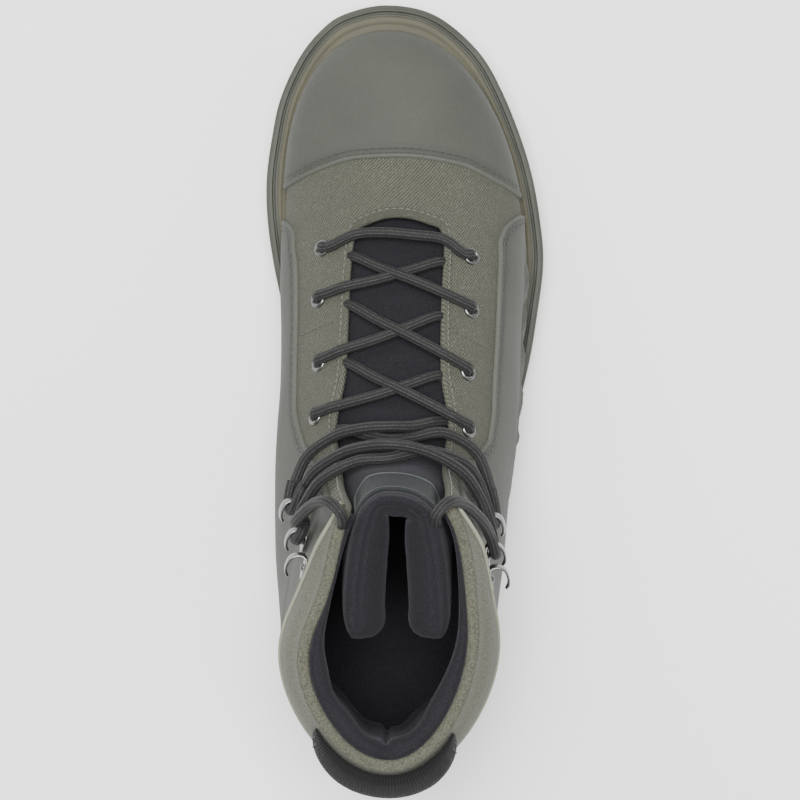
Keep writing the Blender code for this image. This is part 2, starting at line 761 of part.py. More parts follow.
def build_overlays(parts, cutters):
    wide = BALL_WIDTH
    cap = overlay_shell("toe_cap", "smooth", parts, OVERLAY)
    cut(cap, prism("cap_plan", cap_outline(0.0), "Z", 0.0, 0.12, cutters), "INTERSECT")
    behind = prism("cap_clear", cap_outline(-CAP_SEAM), "Z", -0.01, 0.13, cutters)
    for name, inner in (("panel_inner", True), ("panel_outer", False)):
        panel = overlay_shell(name, "smooth", parts, OVERLAY)
        low, high = (HEEL_SET + SEAM / 2, wide) if inner else (-wide, HEEL_SET - SEAM / 2)
        side = prism(name + "_side", panel_outline(inner), "Y", low, high, cutters)
        cut(panel, side, "INTERSECT")
        cut(panel, behind)
    collar = overlay_shell("collar_panel", "rough", parts, OVERLAY * 1.3)
    along = np.linspace(-0.05, COLLAR_MEET[0], 12)
    edge = [(u * SOLE_LENGTH, read(COLLAR_EDGE, 1, u) * COLLAR_HEIGHT) for u in along]
    far = 1.2 * COLLAR_HEIGHT
    edge += [(COLLAR_MEET[0] * SOLE_LENGTH + 0.003, COLLAR_MEET[1] * COLLAR_HEIGHT)]
    edge += [(COLLAR_MEET[0] * SOLE_LENGTH + 0.003, far), (-0.05 * SOLE_LENGTH, far)]
    cut(collar, prism("collar_side", edge, "Y", -wide, wide, cutters), "INTERSECT")


# Section of the padded lining: up the outside, over the top, down the inside
LINING = (
    # step from the sole line, depth share of the padding, rise
    (6, 0.00, 0.0000),
    (7, 0.00, 0.0000),
    (8, 0.00, 0.0000),
    (9, 0.00, 0.0000),
    (10, 0.00, 0.0000),
    (10, 0.14, 0.0022),
    (10, 0.50, 0.0034),
    (10, 0.86, 0.0018),
    (9, 1.00, 0.0000),
    (8, 1.00, 0.0000),
    (7, 0.60, 0.0000),
    (6, 0.25, 0.0000),
)
LINING_RIBS = 9
LINING_FRONT = 0.0014


def build_lining(parts):
    """The padded roll, from one front corner of the collar round the back to the other."""
    count = SKIN.shape[1]
    ribs = [k % count for k in range(-LINING_RIBS, LINING_RIBS + 1)]
    along = read(RIB_END, 1, np.abs(np.arange(-LINING_RIBS, LINING_RIBS + 1)) / RIBS)
    full = np.clip((0.27 - along) / 0.12, 0, 1)
    thick = LINING_FRONT + (PADDING - LINING_FRONT) * full * full * (3 - 2 * full)
    rows = []
    for rib, pad in zip(ribs, thick):
        section = []
        for step, share, rise in LINING:
            depth = WALL + GAP + share * pad
            point = SKIN[step, rib] - SKIN_OUT[step, rib] * depth
            section.append(point + (0.0, 0.0, rise * min(1.0, pad / 0.004)))
        rows.append(section)
    return loft("collar_lining", "lining", rows, parts, caps="plain")


# The tongue, from under the vamp up to the collar
TONGUE = (
    # row, along, height, half width in BALL_WIDTH, wrap, axis, thickness share, lean of the section in degrees
    (0.00, 0.732, 0.400, 0.225, 0.006, 0.000, 0.70, 66.0),
    (0.20, 0.645, 0.470, 0.235, 0.007, 0.000, 0.85, 62.0),
    (0.40, 0.555, 0.545, 0.240, 0.008, 0.002, 0.90, 60.0),
    (0.55, 0.480, 0.620, 0.235, 0.010, 0.004, 1.00, 54.0),
    (0.68, 0.430, 0.720, 0.200, 0.020, 0.008, 1.15, 36.0),
    (0.80, 0.408, 0.840, 0.172, 0.041, 0.010, 1.30, 16.0),
    (0.92, 0.398, 0.960, 0.163, 0.056, 0.010, 1.35, 6.0),
    (1.00, 0.392, 1.030, 0.158, 0.058, 0.010, 1.10, 4.0),
)
TONGUE_ROWS = 13
TONGUE_CLEAR = 0.0007
TONGUE_POINTS = 14


def tongue_section(row):
    """One closed section: outer face one way, inner face back."""
    along = read(TONGUE, 1, row) * SOLE_LENGTH
    height = read(TONGUE, 2, row) * COLLAR_HEIGHT
    half = read(TONGUE, 3, row) * BALL_WIDTH
    wrap = read(TONGUE, 4, row)
    axis = read(TONGUE, 5, row) * BALL_WIDTH
    thick = read(TONGUE, 6, row) * TONGUE_THICK
    lean = np.radians(read(TONGUE, 7, row))
    out = np.array((math.cos(lean), 0.0, math.sin(lean)))
    centre = np.array((along, axis, height))
    angle = np.linspace(-math.pi / 2, math.pi / 2, TONGUE_POINTS)

    def side(grow):
        y = np.sign(np.sin(angle)) * np.abs(np.sin(angle)) ** 0.85 * (half - grow)
        back = wrap * (1 - np.abs(np.cos(angle)) ** 0.85)
        depth = grow + back
        points = centre + np.outer(y, (0, 1, 0)) - np.outer(depth, out)
        beside = np.clip((row - 0.45) / 0.15, 0, 1) * (LINING_FRONT + 3 * GAP)
        return sunk(points, WALL + TONGUE_CLEAR + beside + grow)

    return np.concatenate([side(0.0), side(thick)[::-1]])


def build_tongue(parts):
    rows = [tongue_section(row) for row in np.linspace(0, 1, TONGUE_ROWS)]
    return loft("tongue", "lining", rows, parts, caps="plain")


PATCH_ROWS = (0.83, 0.965)
PATCH_THICK = 0.0008


def build_patch(parts):
    """A thin bare patch over the top of the tongue's front."""
    across = slice(3, TONGUE_POINTS - 3)
    rows = []
    for row in np.linspace(*PATCH_ROWS, 6):
        face = tongue_section(row)[:TONGUE_POINTS]
        run = np.roll(face, -1, axis=0) - np.roll(face, 1, axis=0)
        out = np.stack([run[:, 1], -run[:, 0], np.zeros(len(run))], axis=-1)
        out /= np.linalg.norm(out, axis=1, keepdims=True)
        out = out[across]
        inside = face[across] + out * 1.5 * GAP
        rows.append(np.concatenate([inside + out * PATCH_THICK, inside[::-1]]))
    return loft("tongue_patch", "lining", rows, parts, caps="plain")


LOOP_THICK = 0.0018
LOOP_REACH = 0.118
LOOP_BAND = (
    # height in COLLAR_HEIGHT, how far its middle stands off
    (0.862, 0.0024),
    (0.895, 0.0046),
    (0.930, 0.0054),
    (0.962, 0.0040),
    (0.990, 0.0016),
)


def build_pull_loop(parts):
    """Webbing across the back of the collar, flat at its ends and slack in the middle."""
    ribs = np.linspace(-1, 1, 15)
    off = GAP * 3 + OVERLAY * 1.3
    rows = []
    for share in ribs:
        rib = np.array([abs(share) * LOOP_REACH])
        _, end, _, high = rib_ends(rib, share > 0)
        slack = (1 - share**4) ** 1.5
        near, far = [], []
        for height, bulge in LOOP_BAND:
            level = np.array([(0.0, 0.0, height * COLLAR_HEIGHT - end[0, 2])])
            point = cast(high + level, end + level)
            out = normals(point)
            near.append((point + out * (off + bulge * slack))[0])
            far.append((point + out * (off + bulge * slack + LOOP_THICK))[0])
        rows.append(near + far[::-1])
    return loft("pull_loop", "webbing", rows, parts, caps="plain")


# Eyelets, front to back
EYELETS = (
    # inner along and across, outer along and across
    (0.673, 0.268, 0.662, -0.244),
    (0.608, 0.279, 0.594, -0.242),
    (0.527, 0.274, 0.516, -0.227),
    (0.461, 0.283, 0.446, -0.228),
)
EYELET_RING = 0.0029
EYELET_WIRE = 0.0008


def eyelet_point(number, inner):
    row = EYELETS[number]
    along, across = row[:2] if inner else row[2:]
    plan = np.array([along * SOLE_LENGTH, across * BALL_WIDTH])
    point = np.array([[*plan, height_over(plan[:1], plan[1:])[0]]])
    return point, normals(point)


def build_eyelets(parts):
    for inner in (True, False):
        for number in range(len(EYELETS)):
            point, out = eyelet_point(number, inner)
            bpy.ops.mesh.primitive_torus_add(
                major_radius=EYELET_RING,
                minor_radius=EYELET_WIRE,
                major_segments=12,
                minor_segments=4,
            )
            ring = bpy.context.object
            ring.name = f"eyelet_{'inner' if inner else 'outer'}_{number + 1}"
            ring.data.name = ring.name
            ring.location = place(point + out * (EYELET_WIRE + 2.5 * GAP))[0]
            ring.rotation_euler = Vector(out[0]).to_track_quat("Z", "Y").to_euler()
            ring.data.materials.append(material("nickel"))
            ring.data.shade_smooth()
            for owner in list(ring.users_collection):
                owner.objects.unlink(ring)
            parts.objects.link(ring)


HOOKS = (
    # inner along and height, outer along and height
    (0.345, 0.660, 0.328, 0.660),
    (0.311, 0.765, 0.294, 0.765),
    (0.283, 0.860, 0.270, 0.860),
)
# A hook is one bent strip: its foot on the panel, its neck on the throat's side, its lip open to the back
HOOK_BEND = (
    # back, out, half width
    (0.0042, 0.0005, 0.0024),
    (0.0018, 0.0005, 0.0034),
    (-0.0022, 0.0005, 0.0034),
    (-0.0040, 0.0010, 0.0026),
    (-0.0046, 0.0026, 0.0021),
    (-0.0042, 0.0046, 0.0020),
    (-0.0026, 0.0064, 0.0020),
    (0.0002, 0.0071, 0.0021),
    (0.0028, 0.0068, 0.0021),
    (0.0046, 0.0056, 0.0015),
)
HOOK_SHEET = 0.0010


def hook_frame(number, inner):
    """Foot point, outward, backward and upward directions of a hook."""
    row = HOOKS[number]
    along, height = row[:2] if inner else row[2:]
    guess = np.array([[along * SOLE_LENGTH, 0.04 if inner else -0.035, height * COLLAR_HEIGHT]])
    core = guess * (1.0, 0.0, 1.0) + (0.0, SHAFT_AXIS, 0.0)
    point = cast(core, guess)
    out = normals(point)[0]
    back = np.array((-0.95, 0.0, -0.30))
    back = back - out * (back @ out)
    back /= np.linalg.norm(back)
    return point[0] + out * (OVERLAY + 2.6 * GAP), out, back, np.cross(out, back)


def build_hooks(parts):
    bend = np.array(HOOK_BEND)
    run = np.gradient(bend[:, :2], axis=0)
    run /= np.linalg.norm(run, axis=1, keepdims=True)
    turn = np.stack([-run[:, 1], run[:, 0]], axis=-1) * HOOK_SHEET / 2
    for inner in (True, False):
        for number in range(len(HOOKS)):
            foot, out, back, up = hook_frame(number, inner)
            rows = []
            for (b, o, half), (tb, to) in zip(bend, turn):
                corners = ((tb, to, half), (tb, to, -half), (-tb, -to, -half), (-tb, -to, half))
                rows.append([foot + back * (b + x) + out * (o + y) + up * w for x, y, w in corners])
            side = "inner" if inner else "outer"
            loft(f"hook_{side}_{number + 1}", "nickel", rows, parts, caps="plain")


LACE = 0.0021
LACE_CLEAR = 0.0005


def smooth_path(points, spacing):
    """A smooth curve through the points, read evenly."""
    points = np.asarray(points, float)
    ends = [2 * points[0] - points[1], 2 * points[-1] - points[-2]]
    padded = np.vstack([ends[0], points, ends[1]])
    dense = []
    for a, b, c, d in zip(padded, padded[1:], padded[2:], padded[3:]):
        for t in np.linspace(0, 1, 16, endpoint=False):
            straight = 2 * b + (c - a) * t
            bend = (2 * a - 5 * b + 4 * c - d) * t * t + (3 * b - 3 * c + d - a) * t**3
            dense.append(0.5 * (straight + bend))
    dense = np.array(dense + [points[-1]])
    length = np.concatenate([[0], np.cumsum(np.linalg.norm(np.diff(dense, axis=0), axis=1))])
    count = max(4, int(round(length[-1] / spacing)) + 1)
    at = np.linspace(0, length[-1], count)
    return np.stack([np.interp(at, length, dense[:, k]) for k in range(3)], axis=-1)


def cord(name, points, owner):
    """A lace tube as a curve with filled caps."""
    curve = bpy.data.curves.new(name, "CURVE")
    curve.dimensions = "3D"
    curve.bevel_depth = LACE
    curve.bevel_resolution = 2
    curve.use_fill_caps = True
    spline = curve.splines.new("POLY")
    spline.points.add(len(points) - 1)
    for target, point in zip(spline.points, place(points)):
        target.co = (*point, 1.0)
    made = bpy.data.objects.new(name, curve)
    curve.materials.append(material("lace"))
    owner.objects.link(made)
    return made


def as_mesh(tube):
    """The curve as a welded mesh, in its place."""
    bpy.context.view_layer.update()
    graph = bpy.context.evaluated_depsgraph_get()
    mesh = bpy.data.meshes.new_from_object(tube.evaluated_get(graph))
    work = bmesh.new()
    work.from_mesh(mesh)
    bmesh.ops.remove_doubles(work, verts=work.verts, dist=1e-6)
    bmesh.ops.recalc_face_normals(work, faces=work.faces)
    work.to_mesh(mesh)
    work.free()
    name, owner = tube.name, tube.users_collection[0]
    matrix = tube.matrix_world.copy()
    bpy.data.objects.remove(tube, do_unlink=True)
    made = bpy.data.objects.new(name, mesh)
    made.matrix_world = matrix
    owner.objects.link(made)
    return made


THROAT_LIFT = -0.0003
FLAP_LIFT = LACE + LACE_CLEAR
CROSSINGS = (
    # where a strand leaves each throat edge (along), and the eyelet that it runs to
    (0.662, 0.655, 1),
    (0.600, 0.586, 2),
    (0.527, 0.512, 3),
)


def strand(start_along, start_inner, number, over):
    """One strand: from beside a throat edge, over the tongue, onto the other flap up to its eyelet."""
    side = 1 if start_inner else -1
    edge = throat_edge(start_along, start_inner)
    target, _ = eyelet_point(number, not start_inner)
    target = target[0]
    start = np.array([start_along * SOLE_LENGTH, edge - side * 1.75 * LACE])
    far = throat_edge(target[0] / SOLE_LENGTH, not start_inner)
    run = target[:2] - start
    shares = np.array([0.0, 0.22, 0.5, 0.74, 0.84, 1.0])
    reach = np.linalg.norm(run)
    shares[-1] = 1 - (EYELET_RING + EYELET_WIRE + 2 * GAP) / reach
    cross = (start[1] - far) / (start[1] - target[1])
    shares[3] = cross - 0.05
    shares[4] = min(cross + 0.07, shares[-1] - 0.06)
    lifts = [THROAT_LIFT, 0.0, 0.0004 + over, FLAP_LIFT, FLAP_LIFT, FLAP_LIFT]
    plan = start + run * shares[:, None]
    high = height_over(plan[:, 0], plan[:, 1])
    points = np.concatenate([plan, high[:, None]], axis=1)
    return smooth_path(points + normals(points) * np.array(lifts)[:, None], 0.007)


def throat_edge(along, inner):
    """How far across the throat's edge lies."""
    ribs = np.linspace(0.48, 0.80, 60)
    at = read(RIB_END, 1, ribs)
    return np.interp(along, at, read(RIB_END, 2 if inner else 3, ribs)) * BALL_WIDTH


def join(name, first, second, parts, cutters):
    """Two strands as one solid."""
    body = as_mesh(cord(name, first, parts))
    other = as_mesh(cord(name + "_other", second, cutters))
    other.hide_render = True
    other.display_type = "WIRE"
    cut(body, other, "UNION")
    return body


def build_laces(parts, cutters):
    # The bar across the front pair
    left, right = eyelet_point(0, True)[0][0], eyelet_point(0, False)[0][0]
    forward = np.array([0.0, 0.0050, 0.0062, 0.0058, 0.0050, 0.0])
    shares = np.array([0.075, 0.24, 0.42, 0.62, 0.80, 0.925])
    plan = left[:2] + (right - left)[:2] * shares[:, None]
    plan[:, 0] += forward
    high = height_over(plan[:, 0], plan[:, 1])
    points = np.concatenate([plan, high[:, None]], axis=1)
    lifts = np.full(6, FLAP_LIFT)
    points = smooth_path(points + normals(points) * lifts[:, None], 0.007)
    as_mesh(cord("lace_bar", points, parts))
    for index, (inner_start, outer_start, number) in enumerate(CROSSINGS):
        first = strand(inner_start, True, number, 0.0016)
        second = strand(outer_start, False, number, 0.0)
        join(f"lace_cross_{index + 1}", first, second, parts, cutters)


ANKLE_CORE = 0.300
# A strand's wrap round a hook's neck, in the hook's own directions
HOOK_WRAP = (
    # back, out, up
    (-0.0100, 0.0032, -0.0068),
    (-0.0030, 0.0037, -0.0050),
    (-0.0005, 0.0038, 0.0000),
    (-0.0030, 0.0037, 0.0050),
    (-0.0100, 0.0032, 0.0068),
)
# The lace above the eyelets: from a throat edge to the other side's first hook, then to its own side's second
ANKLE_RISE = (
    # degrees from straight ahead toward its own side, height, lift of the lower strand, of the upper strand
    (19.0, 0.664, -0.0003, 0.0000),
    (10.0, 0.704, -0.0003, 0.0038),
    (0.0, 0.724, -0.0003, 0.0055),
    (-11.0, 0.715, 0.0003, 0.0054),
    (-24.0, 0.680, 0.0034, 0.0044),
    (-40.0, 0.642, 0.0042, 0.0044),
    (-57.0, 0.634, 0.0048, 0.0048),
)
ANKLE_RETURN = (
    (-50.0, 0.700, 0.0048, 0.0048),
    (-38.0, 0.735, 0.0054, 0.0054),
    (-20.0, 0.790, 0.0030, 0.0046),
    (0.0, 0.840, -0.0003, 0.0049),
    (20.0, 0.830, 0.0012, 0.0042),
    (40.0, 0.795, 0.0046, 0.0048),
    (57.0, 0.748, 0.0048, 0.0048),
)
TUCK_END = (
    # along, across from the shaft's axis, height
    (0.340, 0.0345, 0.880),
    (0.362, 0.0275, 0.975),
    (0.366, 0.0215, 1.043),
    (0.352, 0.0170, 1.052),
)


def round_front(table, side, column):
    """A strand over the front of the ankle, from a table of angles, heights and lifts."""
    rows = np.array(table)
    angle = np.radians(rows[:, 0]) * side
    core = np.zeros((len(rows), 3)) + (ANKLE_CORE * SOLE_LENGTH, SHAFT_AXIS, 0.0)
    core[:, 2] = rows[:, 1] * COLLAR_HEIGHT
    ahead = np.stack([np.cos(angle), np.sin(angle), 0 * angle], axis=-1)
    point = cast(core, core + ahead * 0.01)
    return point + normals(point) * rows[:, column, None]


def wrap(number, inner):
    """A strand's points round a hook, from below it to above it."""
    foot, out, back, up = hook_frame(number, inner)
    if up[2] < 0:
        up = -up
    return np.array([foot + back * b + out * o + up * u for b, o, u in HOOK_WRAP])


def ankle_path(inner):
    """The lace's end that leaves the throat on one side; the outer one runs on top."""
    side = 1 if inner else -1
    column = 2 if inner else 3
    run = [round_front(ANKLE_RISE, side, column), wrap(0, not inner)]
    run += [round_front(ANKLE_RETURN, side, column), wrap(1, inner)]
    run.append(np.array(TUCK_END) * (SOLE_LENGTH, side, COLLAR_HEIGHT) + (0.0, SHAFT_AXIS, 0.0))
    return np.vstack(run)


def build_ankle_cords(parts):
    for inner in (True, False):
        points = smooth_path(ankle_path(inner), 0.0064)
        cord(f"lace_ankle_{'inner' if inner else 'outer'}", points, parts)


def main():
    for old in list(bpy.data.objects):
        bpy.data.objects.remove(old, do_unlink=True)
    parts = bpy.data.collections.new("wading_boot")
    cutters = bpy.data.collections.new("cutters")
    cutters.hide_render = True
    bpy.context.scene.collection.children.link(parts)
    bpy.context.scene.collection.children.link(cutters)

    build_sole(parts, cutters)
    build_welt(parts)
    build_upper(parts)
    build_insole(parts)
    build_overlays(parts, cutters)
    build_lining(parts)
    build_tongue(parts)
    build_patch(parts)
    build_pull_loop(parts)
    build_eyelets(parts)
    build_hooks(parts)
    build_laces(parts, cutters)
    build_ankle_cords(parts)


main()
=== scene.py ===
"""Looks of the right-foot wading boot: fine surfaces, seams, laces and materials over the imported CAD."""

import math

import bmesh
import bpy
import numpy as np
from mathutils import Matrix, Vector
from mathutils.kdtree import KDTree


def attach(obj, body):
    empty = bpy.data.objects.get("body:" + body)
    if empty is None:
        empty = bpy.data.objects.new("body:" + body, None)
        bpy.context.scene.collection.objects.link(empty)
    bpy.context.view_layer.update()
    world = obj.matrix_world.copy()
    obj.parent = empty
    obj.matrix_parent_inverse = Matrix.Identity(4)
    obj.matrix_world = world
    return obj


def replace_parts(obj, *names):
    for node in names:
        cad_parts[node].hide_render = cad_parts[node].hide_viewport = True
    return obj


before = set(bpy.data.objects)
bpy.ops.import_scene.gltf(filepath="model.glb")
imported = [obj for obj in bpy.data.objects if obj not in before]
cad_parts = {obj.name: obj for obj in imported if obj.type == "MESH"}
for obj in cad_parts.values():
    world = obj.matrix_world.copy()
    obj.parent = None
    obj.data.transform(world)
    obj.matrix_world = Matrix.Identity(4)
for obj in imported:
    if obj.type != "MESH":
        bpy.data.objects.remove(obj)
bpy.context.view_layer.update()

# The boot's sizes and form, the same as in the CAD source. Lengths are in metres
SOLE_LENGTH = 0.316
BALL_WIDTH = 0.116
HEEL_WIDTH = 0.084
FELT = 0.0105
HEEL_STACK = 0.040
BALL_STACK = 0.0285
TOE_SPRING = 0.010
ARCH_RISE = 0.006
COLLAR_HEIGHT = 0.187
INSTEP_HEIGHT = 0.119
# Walls and clearances
GAP = 0.0003
WALL = 0.0022
OVERLAY = 0.0013
WELT_HEIGHT = 0.0024
WELT_GROOVE = 0.0010
INSOLE = 0.0040
PADDING = 0.0065
TONGUE_THICK = 0.0040
# Outline of the sole, heel to toe: along in shares of SOLE_LENGTH, across in
# shares of HEEL_WIDTH from the heel's axis or of BALL_WIDTH from the foot's axis
HEEL_SET = 0.0064
INNER_OUTLINE = (
    # width, along, across
    ("heel", 0.000, 0.000),
    ("heel", 0.012, 0.205),
    ("heel", 0.045, 0.372),
    ("heel", 0.095, 0.465),
    ("heel", 0.160, 0.500),
    ("heel", 0.240, 0.488),
    ("heel", 0.330, 0.440),
    ("ball", 0.430, 0.355),
    ("ball", 0.530, 0.380),
    ("ball", 0.600, 0.420),
    ("ball", 0.660, 0.455),
    ("ball", 0.720, 0.478),
    ("ball", 0.775, 0.481),
    ("ball", 0.830, 0.461),
    ("ball", 0.880, 0.430),
    ("ball", 0.930, 0.366),
    ("ball", 0.965, 0.291),
    ("ball", 0.988, 0.202),
    ("ball", 1.000, 0.050),
)
OUTER_OUTLINE = (
    ("heel", 0.000, 0.000),
    ("heel", 0.012, -0.205),
    ("heel", 0.045, -0.372),
    ("heel", 0.095, -0.465),
    ("heel", 0.160, -0.500),
    ("heel", 0.240, -0.515),
    ("heel", 0.320, -0.545),
    ("ball", 0.400, -0.378),
    ("ball", 0.480, -0.432),
    ("ball", 0.540, -0.470),
    ("ball", 0.600, -0.497),
    ("ball", 0.655, -0.516),
    ("ball", 0.700, -0.512),
    ("ball", 0.770, -0.482),
    ("ball", 0.830, -0.434),
    ("ball", 0.890, -0.366),
    ("ball", 0.935, -0.294),
    ("ball", 0.972, -0.190),
    ("ball", 0.993, -0.085),
    ("ball", 1.000, 0.050),
)
# Height of the sole's top and of its underside along the foot
SOLE_SIDE = (
    # along, share of the heel's lift, share of the toe spring
    (0.00, 1.00, 0.00),
    (0.20, 1.00, 0.00),
    (0.35, 0.80, 0.00),
    (0.50, 0.38, 0.00),
    (0.62, 0.10, 0.00),
    (0.72, 0.00, 0.00),
    (0.80, 0.00, 0.06),
    (0.90, 0.00, 0.38),
    (1.00, 0.00, 1.00),
)
# The foot form, from behind the ankle to the toe
FOOT = (
    # along, half width and axis in BALL_WIDTH, crown and widest height in INSTEP_HEIGHT
    (0.00, 0.300, 0.040, 0.66, 0.50),
    (0.20, 0.345, 0.035, 0.92, 0.50),
    (0.30, 0.385, 0.030, 1.10, 0.49),
    (0.36, 0.398, 0.027, 1.16, 0.48),
    (0.44, 0.408, 0.013, 1.085, 0.46),
    (0.50, 0.410, 0.002, 1.000, 0.44),
    (0.57, 0.412, -0.004, 0.905, 0.42),
    (0.64, 0.420, -0.010, 0.810, 0.40),
    (0.71, 0.420, -0.012, 0.725, 0.38),
    (0.78, 0.410, 0.000, 0.650, 0.375),
    (0.85, 0.412, 0.018, 0.612, 0.375),
    (0.92, 0.415, 0.035, 0.588, 0.385),
    (1.00, 0.418, 0.052, 0.570, 0.395),
)
TOE_START = 0.720
TOE_END = 0.958
FOOT_ROUND = 2.1
TUCK = 0.0015
LEDGE = 0.0036
# The shaft form, from the heel cup to the collar
SHAFT = (
    # height in COLLAR_HEIGHT, back and front in SOLE_LENGTH, inner and outer half
    # width in HEEL_WIDTH, how much each side narrows from back to front
    (0.190, 0.0215, 0.404, 0.465, 0.420, 0.00, 0.00),
    (0.320, 0.0125, 0.429, 0.500, 0.470, 0.02, 0.00),
    (0.450, 0.0180, 0.444, 0.496, 0.482, 0.04, 0.03),
    (0.580, 0.0300, 0.446, 0.474, 0.466, 0.08, 0.05),
    (0.700, 0.0400, 0.432, 0.442, 0.448, 0.13, 0.08),
    (0.790, 0.0410, 0.420, 0.430, 0.448, 0.20, 0.10),
    (0.860, 0.0430, 0.412, 0.420, 0.446, 0.23, 0.10),
    (0.920, 0.0500, 0.404, 0.385, 0.420, 0.25, 0.08),
    (0.970, 0.0580, 0.397, 0.345, 0.378, 0.27, 0.06),
    (1.020, 0.0640, 0.392, 0.325, 0.358, 0.27, 0.05),
)
SHAFT_AXIS = 0.0040
MELT = 0.010
# The ribs: where each starts along the sole line, spaced evenly round heel and toe
RIB_START = (
    # rib, start along
    (0.000, 0.0000),
    (0.033, 0.0035),
    (0.067, 0.0125),
    (0.100, 0.0280),
    (0.133, 0.0500),
    (0.180, 0.0920),
    (0.240, 0.1650),
    (0.300, 0.2400),
    (0.360, 0.3070),
    (0.420, 0.3750),
    (0.480, 0.4400),
    (0.540, 0.5080),
    (0.610, 0.5900),
    (0.690, 0.6950),
    (0.760, 0.7900),
    (0.800, 0.8450),
    (0.833, 0.8930),
    (0.867, 0.9340),
    (0.900, 0.9650),
    (0.933, 0.9850),
    (0.967, 0.9962),
    (1.000, 1.0000),
)
# Where each rib ends on the edge of collar and throat, and the core it is aimed from
RIB_END = (
    # rib, end along, inner and outer end in BALL_WIDTH, end height, core along, core drop
    (0.000, 0.057, 0.052, 0.052, 1.016, 0.195, 0.000),
    (0.060, 0.066, 0.172, -0.078, 1.014, 0.195, 0.000),
    (0.120, 0.098, 0.276, -0.164, 1.011, 0.195, 0.000),
    (0.180, 0.142, 0.310, -0.207, 1.006, 0.201, 0.000),
    (0.240, 0.208, 0.267, -0.211, 1.001, 0.226, 0.000),
    (0.300, 0.289, 0.211, -0.209, 0.997, 0.264, 0.000),
    (0.360, 0.368, 0.203, -0.194, 0.993, 0.299, 0.000),
    (0.420, 0.396, 0.224, -0.190, 0.882, 0.308, 0.010),
    (0.480, 0.418, 0.241, -0.185, 0.759, 0.340, 0.022),
    (0.540, 0.450, 0.241, -0.177, 0.652, 0.396, 0.036),
    (0.610, 0.522, 0.203, -0.147, 0.599, 0.497, 0.048),
    (0.690, 0.611, 0.198, -0.155, 0.535, 0.591, 0.048),
    (0.760, 0.677, 0.184, -0.166, 0.484, 0.667, 0.044),
    (0.800, 0.700, 0.166, -0.152, 0.471, 0.695, 0.043),
    (0.860, 0.707, 0.120, -0.100, 0.468, 0.715, 0.042),
    (0.910, 0.711, 0.080, -0.062, 0.465, 0.735, 0.041),
    (0.960, 0.714, 0.040, -0.022, 0.462, 0.755, 0.040),
    (1.000, 0.715, 0.009, 0.009, 0.460, 0.765, 0.040),
)
CORE_BACK = 0.195
CORE_FRONT = 0.835
CORE_LIFT = 0.010
# Edges of the overlays, read across the foot or along it
CAP_EDGE = (
    # across in BALL_WIDTH, along in SOLE_LENGTH
    (-0.560, 0.726),
    (-0.440, 0.741),
    (-0.330, 0.760),
    (-0.200, 0.780),
    (0.000, 0.789),
    (0.150, 0.787),
    (0.280, 0.774),
    (0.400, 0.756),
    (0.520, 0.742),
)
CAP_SEAM = 0.0006
PANEL_TOP = (
    # along in SOLE_LENGTH, inner and outer edge in BALL_WIDTH, in plan
    (0.400, 0.352, -0.312),
    (0.470, 0.350, -0.314),
    (0.560, 0.352, -0.325),
    (0.640, 0.354, -0.335),
    (0.680, 0.360, -0.342),
    (0.700, 0.372, -0.356),
    (0.722, 0.425, -0.420),
    (0.742, 0.500, -0.540),
    (0.760, 0.560, -0.600),
)
COLLAR_EDGE = (
    # along in SOLE_LENGTH, height in COLLAR_HEIGHT: where the collar panel meets the side panels
    (0.000, 0.800),
    (0.120, 0.808),
    (0.200, 0.826),
    (0.270, 0.880),
    (0.320, 0.935),
    (0.372, 1.005),
    (0.440, 1.120),
)
COLLAR_MEET = (0.352, 0.972)
EYESTAY_EDGE = (
    # along, height: the side panels' front edge, a strip behind the throat's edge
    (0.362, 0.880),
    (0.380, 0.760),
    (0.402, 0.650),
    (0.432, 0.560),
)
SEAM = 0.0005


def read(table, column, at):
    """A smooth curve through one column of a table, without overshoot."""
    x = np.array([row[0] for row in table], float)
    y = np.array([row[column] for row in table], float)
    steps = np.diff(x)
    slopes = np.diff(y) / steps
    ends = np.concatenate([[slopes[0]], slopes, [slopes[-1]]])
    before, after = ends[:-1], ends[1:]
    same = before * after > 0
    total = np.where(same, before + after, 1.0)
    tangent = np.where(same, 2 * before * after / total, 0.0)
    at = np.clip(np.asarray(at, float), x[0], x[-1])
    i = np.clip(np.searchsorted(x, at) - 1, 0, len(steps) - 1)
    h = steps[i]
    t = (at - x[i]) / h
    return (
        y[i] * (1 + 2 * t) * (1 - t) ** 2
        + h * tangent[i] * t * (1 - t) ** 2
        + y[i + 1] * t * t * (3 - 2 * t)
        + h * tangent[i + 1] * t * t * (t - 1)
    )


def curve(points, steps):
    """A smooth curve through all the points but the first and last."""
    dense = []
    for a, b, c, d in zip(points, points[1:], points[2:], points[3:]):
        for t in np.linspace(0, 1, steps, endpoint=False):
            straight = 2 * b + (c - a) * t
            bend = (2 * a - 5 * b + 4 * c - d) * t * t + (3 * b - 3 * c + d - a) * t**3
            dense.append(0.5 * (straight + bend))
    return np.array(dense + [points[-2]])


def length_along(points):
    """The length of a line up to each of its points."""
    return np.concatenate([[0], np.cumsum(np.linalg.norm(np.diff(points, axis=0), axis=1))])


def pick(at, length, points):
    """Points of a line at these lengths along it."""
    return np.stack([np.interp(at, length, points[:, k]) for k in range(3)], axis=-1)


def outline_points(rows):
    """The plan points of one side of the sole, heel to toe, closely spaced."""
    scale = {"heel": (HEEL_WIDTH, HEEL_SET), "ball": (BALL_WIDTH, 0.0)}
    points = [
        (along * SOLE_LENGTH, across * scale[width][0] + scale[width][1])
        for width, along, across in rows
    ]
    points = np.array(points)
    mirror = np.array((1.0, -1.0))
    before = points[0] + (points[1] - points[0]) * mirror
    after = points[-1] + (points[-2] - points[-1]) * mirror
    return curve(np.vstack([before, points, after]), 12)


